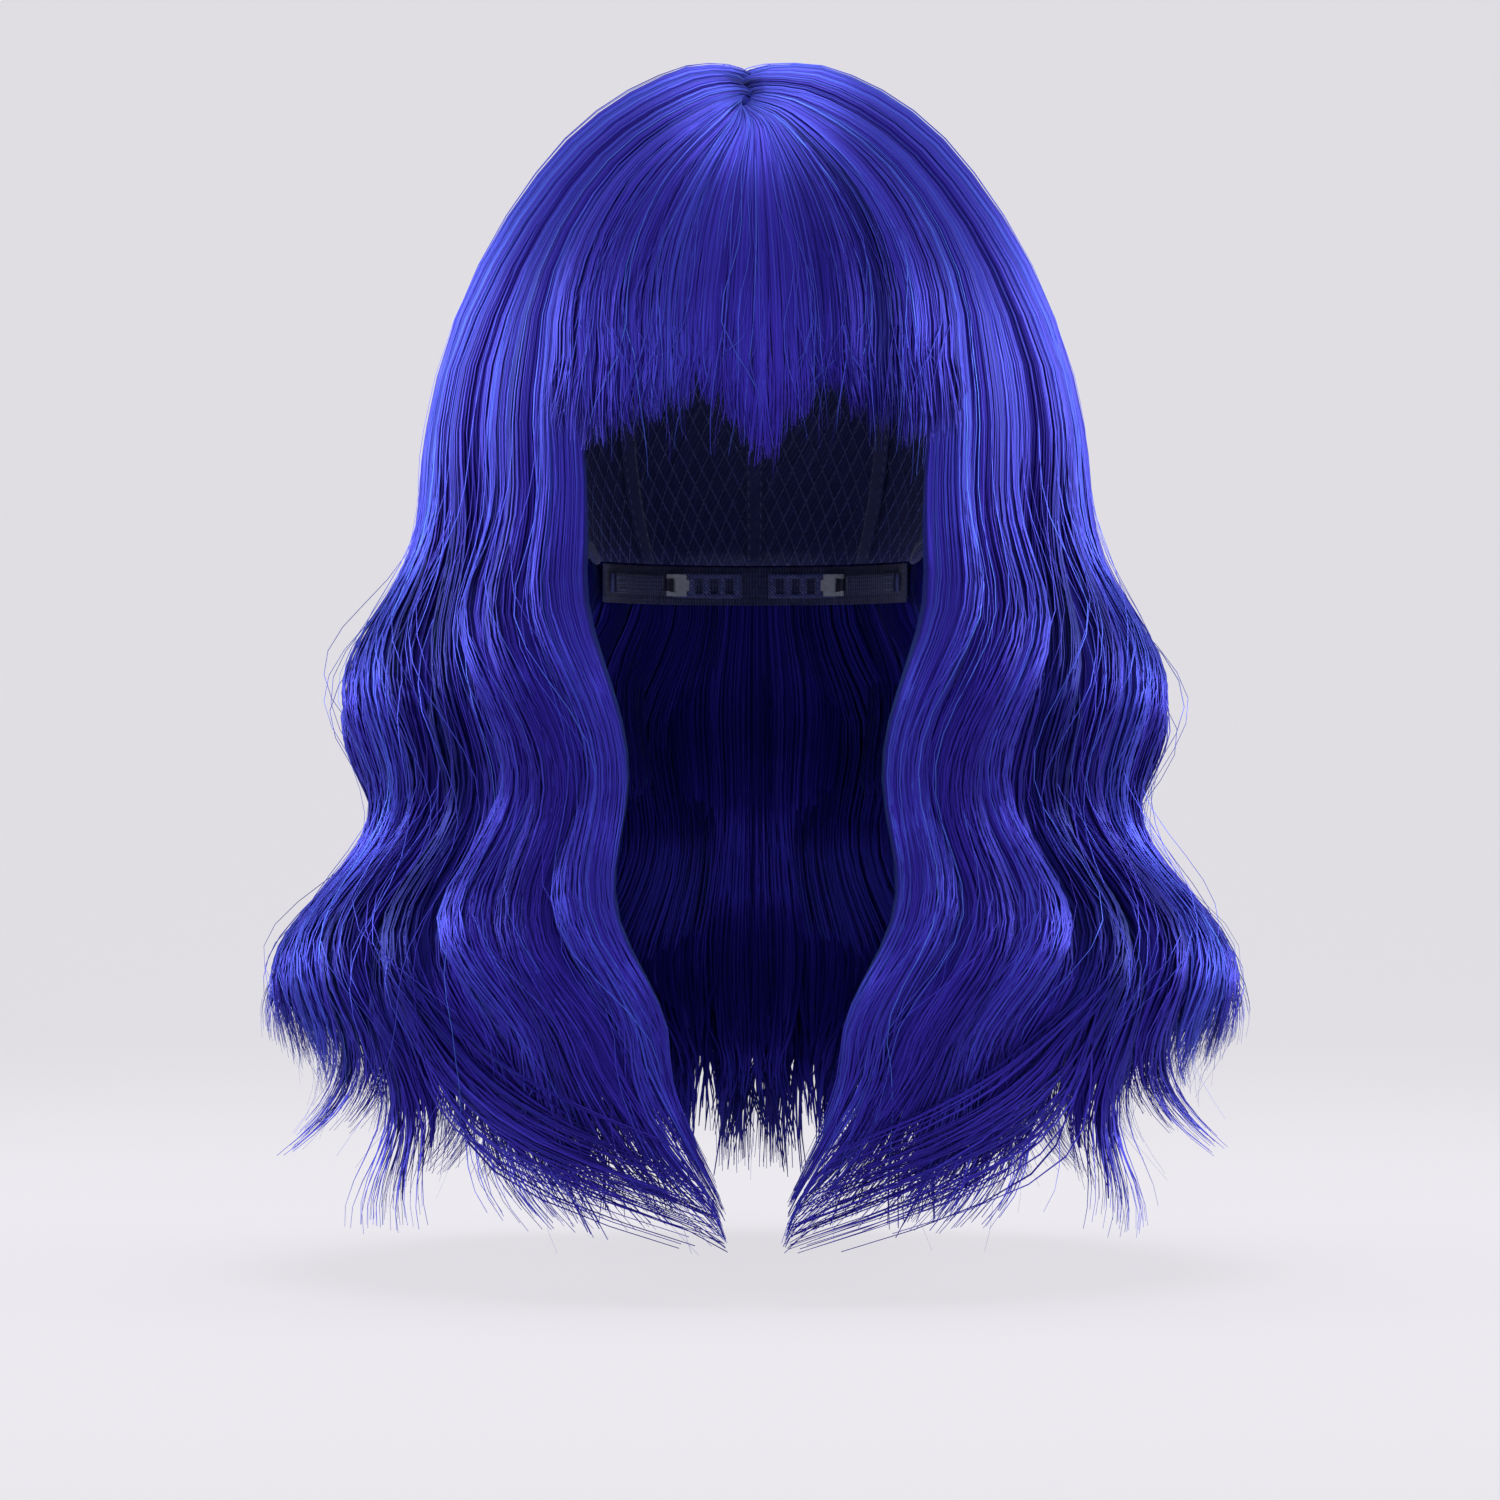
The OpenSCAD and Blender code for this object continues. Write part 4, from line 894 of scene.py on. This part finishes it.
def makeTrack(number):
    g = trackLook
    z = g["topZ"] - g["pitch"] * (number - 1)
    start = trackStart(z)
    turn = np.linspace(start, 360 - start, int((360 - 2 * start) / g["step"]) + 2)[:, None]
    drop = dropOf(z - g["high"] * np.linspace(0, 1, g["columns"]))[None, :]
    rings = sheetRings(capPoint(turn, drop, g["off"] + g["thick"]), capPoint(turn, drop, g["off"]))
    piece = ringObject(f"weftTape.{number}", [(rings, g["tone"], None)], weft, 2039 + number)
    dress(piece, f"weft_track_{number}")


for number in range(1, trackLook["count"] + 1):
    makeTrack(number)

# Parting patch: a strip of fine knit on top of the net, with small knots where strands go through.
patchLook = dict(length=0.074, wide=0.024, off=0.0011, thick=0.001, frontPart=0.82, rows=30, columns=11,
                 knots=150, knotSpan=0.4, knotLong=0.0012, knotWide=0.0006, tone=0.5)


# Point on the patch: on the head's ellipsoid, leant from the top towards the back and moved sideways
# by the arc sine of x.
def patchPoint(lean, x, off):
    side = np.arcsin(x / headHalves[0])
    way = np.broadcast_arrays(np.sin(side), np.cos(side) * np.sin(lean), np.cos(side) * np.cos(lean))
    return np.stack(way, -1) * (headHalves + off)


def makePatch():
    g = patchLook
    back, top = g["length"] / headHalves[1], g["off"] + g["thick"]
    ends = -np.arcsin(back * g["frontPart"]), np.arcsin(back * (1 - g["frontPart"]))
    lean = np.linspace(*ends, g["rows"])[:, None]
    x = np.linspace(1, -1, g["columns"])[None, :] * g["wide"] / 2
    rings = sheetRings(patchPoint(lean, x, top), patchPoint(lean, x, g["off"]))[:, :, ::-1]
    rng = np.random.default_rng(2060)
    a = rng.uniform(*ends, g["knots"])
    b = rng.uniform(-g["knotSpan"], g["knotSpan"], g["knots"]) * g["wide"]
    seat = patchPoint(a, b, top)
    outward = unit(patchPoint(a, b, top + outFace) - seat)
    across = np.cross(outward, np.array([0.0, 1.0, 0.0]))
    knots = stitchRings(seat, across, outward, g["knotLong"], g["knotWide"])
    piece = ringObject("partingKnit", [(rings, g["tone"], None), knots], binding, 2061)
    dress(piece, "parting_patch")


makePatch()

# Nape fitting: tapes on arcs about one upright axis behind the neck. Angles run from the middle of the
# back towards the wearer's left, and lengths are millimetres here. On each side come the pocket tape,
# with bars of stitches between its pockets, the strap's sewn end and the strap with its box of stitches.
napeLook = dict(centreY=27.5, z=-69.6, bandR=57.0, bandT=1.0, bandH=14.0, reach=72.0, ribs=7,
                ribLift=0.09, bandTone=0.45, arcStep=1.5, edgeThick=0.55, edgeRun=3,
                tapeR=56.0, tapeT=0.7, tapeH=9.0, tapeTone=0.6, pocketH=5.6, pocketTurn=3.2,
                pocketPitch=6.0, pocketFirst=27.48, pockets=4, tapeEnd=0.75, barInset=0.3,
                barSink=0.35, barZ=(-2.2, 0.0, 2.2),
                strapR=54.2, strapT=0.8, strapH=7.0, strapFrom=37.85, strapTo=68.0, strapRibs=5,
                strapTone=0.5, heldTurn=0.4, anchor=8.0, anchorR=54.9, anchorT=1.8, boxStitches=4,
                boxInset=(1.5, 1.2), boxZ=(-2.3, 0.0, 2.3), stitchTurn=0.4, stitchRise=3.0)


def napePoint(angle, r, z):  # a point in metres, from its angle, radius and height
    g = napeLook
    x, y = r * sinD(angle), g["centreY"] + r * cosD(angle)
    return np.stack(np.broadcast_arrays(x, y, g["z"] + z), -1) / mm


# Section of a tape: a rectangle with round edges, and ribs along its two faces as a cosine over its
# height.
def tapeSection(r, thick, low, high, ribs):
    g, n = napeLook, 8 * max(1, ribs)
    s = np.linspace(0, 1, n)
    lift = g["ribLift"] * (np.cos(2 * np.pi * ribs * s) - 1)
    edge = np.minimum(1, np.minimum(s, 1 - s) * n / g["edgeRun"])
    half = thick / 2 * mixed(g["edgeThick"], 1, edge) + lift * edge
    rs = np.concatenate([r + thick / 2 + half, (r + thick / 2 - half)[::-1]])
    return rs, np.concatenate([mixed(low, high, s), mixed(low, high, s)[::-1]])


def arcRings(side, a, b, r, thick, low, high, ribs=0):  # that section carried from angle a to angle b
    angle = np.linspace(a, b, max(3, int(abs(b - a) / napeLook["arcStep"])))[:, None] * side
    rs, zs = tapeSection(r, thick, low, high, ribs)
    rings = napePoint(angle, rs[None, :], zs[None, :])[None]
    return rings if side > 0 else rings[:, :, ::-1]


# Stitches on the side towards the neck: along the arc or, with a rise, up the tape.
def arcStitches(side, angles, z, r, rise=0.0):
    seat = napePoint(side * angles, r, z)
    way = napePoint(side * (angles + napeLook["stitchTurn"]), r, z + rise) - seat
    return stitchRings(seat, way, unit(napePoint(side * angles, r - 1, z) - seat))


def makePocketTape(hand, side):
    g = napeLook
    first, pitch, mouth = g["pocketFirst"], g["pocketPitch"], g["pocketTurn"] / 2
    half, lip = g["tapeH"] / 2, g["pocketH"] / 2
    middles = [first - pitch * i for i in range(g["pockets"])[::-1]]
    ends = middles[0] - pitch * g["tapeEnd"], first + pitch * g["tapeEnd"]
    edges = [(arcRings(side, *ends, g["tapeR"], g["tapeT"], low, high), g["tapeTone"], None)
             for low, high in ((lip, half), (-half, -lip))]
    marks = [ends[0], *[m + d for m in middles for d in (-mouth, mouth)], ends[1]]
    spans = list(zip(marks[::2], marks[1::2]))
    inner = half - g["barInset"]
    bars = [(arcRings(side, a, b, g["tapeR"], g["tapeT"], -inner, inner), g["tapeTone"], None)
            for a, b in spans]
    places = np.array([(a + b) / 2 for a, b in spans])
    sewn = [arcStitches(side, places, z, g["tapeR"] + g["barSink"], g["stitchRise"]) for z in g["barZ"]]
    piece = ringObject(f"pocketTape.{hand}", edges + bars + sewn, binding, 2080)
    dress(piece, f"pocket_tape_{hand}")


def makeStrap(hand, side):
    g = napeLook
    half, held = g["strapH"] / 2, g["strapTo"] - g["anchor"]
    sewnEnd = arcRings(side, held, g["strapTo"], g["anchorR"], g["anchorT"], -half, half)
    piece = ringObject(f"strapAnchor.{hand}", [(sewnEnd, g["strapTone"], None)], binding, 2090)
    dress(piece, f"strap_anchor_{hand}")
    low = g["strapR"] - g["strapT"] / 2
    tape = arcRings(side, g["strapFrom"], g["strapTo"], low, g["strapT"], -half, half, g["strapRibs"])
    box = np.linspace(held + g["boxInset"][0], g["strapTo"] - g["boxInset"][1], g["boxStitches"])
    sewn = [arcStitches(side, box, z, low) for z in g["boxZ"]]
    strap = ringObject(f"adjusterStrap.{hand}", [(tape, g["strapTone"], None), *sewn], elastic, 2100)
    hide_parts(f"adjuster_strap_{hand}")
    ends = held, g["strapFrom"] + g["heldTurn"]
    fixed, moving = (napePoint(side * a, g["strapR"], 0.0) for a in ends)
    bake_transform(strap)


def makeNapeBand():
    g = napeLook
    half = g["bandH"] / 2
    band = arcRings(1, -g["reach"], g["reach"], g["bandR"], g["bandT"], -half, half, g["ribs"])
    dress(ringObject("napeElastic", [(band, g["bandTone"], None)], elastic, 2070), "nape_band")


makeNapeBand()
for hand, side in hands.items():
    makePocketTape(hand, side)
    makeStrap(hand, side)


# Nylon hook, injection moulded: faint flow marks and a satin gloss. Aluminium stay, rolled and cut:
# fine scratches along the strip. The marks make the gloss smoother or rougher by these amounts.
hardLook = dict(smoother=0.08, rougher=0.12, markDepth=0.0001)


def makeHard(name, stops, scale, rough, metal, bump):
    g = hardLook
    made, tree = newMaterial(name)
    place = addNode(tree, "ShaderNodeTexCoord")
    size = addNode(tree, "ShaderNodeMapping", {"Scale": scale}, {"Vector": (place, "Object")})
    marks = addNode(tree, "ShaderNodeTexNoise", {"Scale": 1.0, "Detail": 4.0},
                    {"Vector": (size, "Vector")})
    ramp = addNode(tree, "ShaderNodeValToRGB", (), {"Fac": (marks, "Fac")})
    setStops(ramp, stops)
    gloss = addNode(tree, "ShaderNodeMapRange", {3: rough - g["smoother"], 4: rough + g["rougher"]},
                    {0: (marks, "Fac")})
    lift = addNode(tree, "ShaderNodeBump", {"Strength": bump, "Distance": g["markDepth"]},
                   {"Height": (marks, "Fac")})
    shader = addNode(tree, "ShaderNodeBsdfPrincipled", {"Metallic": metal},
                     {"Base Color": (ramp, "Color"), "Roughness": (gloss, "Result"),
                      "Normal": (lift, "Normal")})
    closeMaterial(tree, shader)
    return made


nylon = makeHard("mouldedNylon", [(0.3, "#B9BFCC"), (0.7, "#D3D8E2")],
                 scale=(400, 400, 900), rough=0.34, metal=0.0, bump=0.15)
aluminium = makeHard("rolledAluminium", [(0.3, "#A8ABB0"), (0.7, "#C6C9CE")],
                     scale=(2500, 2500, 120), rough=0.36, metal=1.0, bump=0.2)
keptNodes = dict(adjuster_hook=nylon, ear_stay=aluminium, strap_loop=elastic)  # shown as they are
for name, finish in keptNodes.items():
    for hand in hands:
        for holder in bpy.data.objects[f"{name}_{hand}"].material_slots:
            holder.material = finish
print("cap made")

# Floor and backdrop: one pale sheet that lies under the tips and sweeps up behind the object, as a
# line, a quarter circle and a line. even is the part of its tone that no light or shadow changes.
stageLook = dict(floorZ=-0.312, half=4.0, frontY=-3.0, backY=1.2, bend=0.9, topZ=4.0, steps=10,
                 bendSteps=40, paper="#E7E5EA", even=0.86)


def seenRays(tree):  # 1 for what the camera sees, straight or in a reflection, 0 for light on the object
    path = addNode(tree, "ShaderNodeLightPath")
    seen = addNode(tree, "ShaderNodeMath", (), {0: (path, "Is Camera Ray"), 1: (path, "Is Glossy Ray")},
                   operation="MAXIMUM")
    return addNode(tree, "ShaderNodeMath", (), {0: (seen, "Value"), 1: (path, "Is Transmission Ray")},
                   operation="MAXIMUM")


def makeStage():
    g = stageLook
    n, wallY, wallZ = g["steps"], g["backY"] + g["bend"], g["floorZ"] + g["bend"]
    t = np.linspace(0, np.pi / 2, g["bendSteps"])
    flat = np.stack([np.linspace(g["frontY"], g["backY"], n), np.full(n, g["floorZ"])], -1)
    rise = np.stack([g["backY"] + g["bend"] * np.sin(t), wallZ - g["bend"] * np.cos(t)], -1)
    wall = np.stack([np.full(n, wallY), np.linspace(wallZ, g["topZ"], n)], -1)
    line = np.concatenate([flat, rise[1:], wall[1:]])
    m = len(line)
    points = np.concatenate([np.column_stack([np.full(m, x), line]) for x in (-g["half"], g["half"])])
    i = np.arange(m - 1)
    mesh = bpy.data.meshes.new("paleSweep")
    mesh.from_pydata(points.tolist(), [], np.stack([i, i + m, i + m + 1, i + 1], -1).tolist())
    mesh.polygons.foreach_set("use_smooth", np.full(m - 1, True))
    # Matte paper: the camera and reflections see its own even tone, and the rest of it takes shadows.
    made, tree = newMaterial("mattePaper")
    matte = addNode(tree, "ShaderNodeBsdfDiffuse", {"Color": hexColor(g["paper"])})
    even = addNode(tree, "ShaderNodeEmission", {"Color": hexColor(g["paper"]), "Strength": 1.0})
    part = addNode(tree, "ShaderNodeMath", {1: g["even"]}, {0: (seenRays(tree), "Value")},
                   operation="MULTIPLY")
    both = addNode(tree, "ShaderNodeMixShader", (),
                   {0: (part, "Value"), 1: (matte, "BSDF"), 2: (even, "Emission")})
    addNode(tree, "ShaderNodeOutputMaterial", links={"Surface": (both, "Shader")})
    mesh.materials.append(made)
    sweep = newObject("paleSweep", mesh)


makeStage()

# Soft boxes: one over the head, one on each side a little behind, and two weak ones in front. A grid
# on the side ones keeps their light to a cone, spread degrees wide, off the floor.
lamps = dict(key=dict(place=(0.0, 0.05, 1.35), aim=(0, 0, 0), size=0.9, power=20, spread=180),
             left=dict(place=(-1.35, 0.25, 0.25), aim=(0, 0, -0.1), size=0.8, power=5, spread=90),
             right=dict(place=(1.35, 0.25, 0.25), aim=(0, 0, -0.1), size=0.8, power=5, spread=90),
             frontLeft=dict(place=(-1.2, -1.4, 0.25), aim=(0, 0, -0.1), size=0.8, power=6, spread=180),
             frontRight=dict(place=(1.2, -1.4, 0.25), aim=(0, 0, -0.1), size=0.8, power=6, spread=180))
for name, box in lamps.items():
    light = bpy.data.lights.new(name + "Lamp", "AREA")
    light.size, light.energy, light.spread = box["size"], box["power"], np.deg2rad(box["spread"])
    lamp = newObject(name + "Lamp", light)
    lamp.location = box["place"]
    x, y, z = np.array(box["aim"]) - np.array(box["place"])
    lamp.rotation_euler = (float(np.arctan2(np.hypot(x, y), -z)), 0.0, float(np.arctan2(-x, y)))

# The world is a weak even light; the camera and reflections see it as pale paper.
worldLook = dict(light="#F2F2F6", strength=0.2, paper="#DBD9DE")
world = bpy.data.worlds.new("studioWorld")
world.use_nodes = True
tree = world.node_tree
tree.nodes.clear()
weak = addNode(tree, "ShaderNodeBackground",
               {"Color": hexColor(worldLook["light"]), "Strength": worldLook["strength"]})
pale = addNode(tree, "ShaderNodeBackground", {"Color": hexColor(worldLook["paper"]), "Strength": 1.0})
both = addNode(tree, "ShaderNodeMixShader", (),
               {0: (seenRays(tree), "Value"), 1: (weak, "Background"), 2: (pale, "Background")})
addNode(tree, "ShaderNodeOutputWorld", links={"Surface": (both, "Shader")})
bpy.context.scene.world = world

photoView = dict(place=(-0.0018, -1.6, -0.13), lens=109.5)
lens = bpy.data.cameras.new("photoCamera")
lens.lens, lens.sensor_width = photoView["lens"], 36.0
camera = newObject("photoCamera", lens)
camera.location = photoView["place"]
camera.rotation_euler = (np.pi / 2, 0, 0)
bpy.context.scene.camera = camera
bpy.context.scene.view_settings.view_transform = "Standard"
print("stage made")
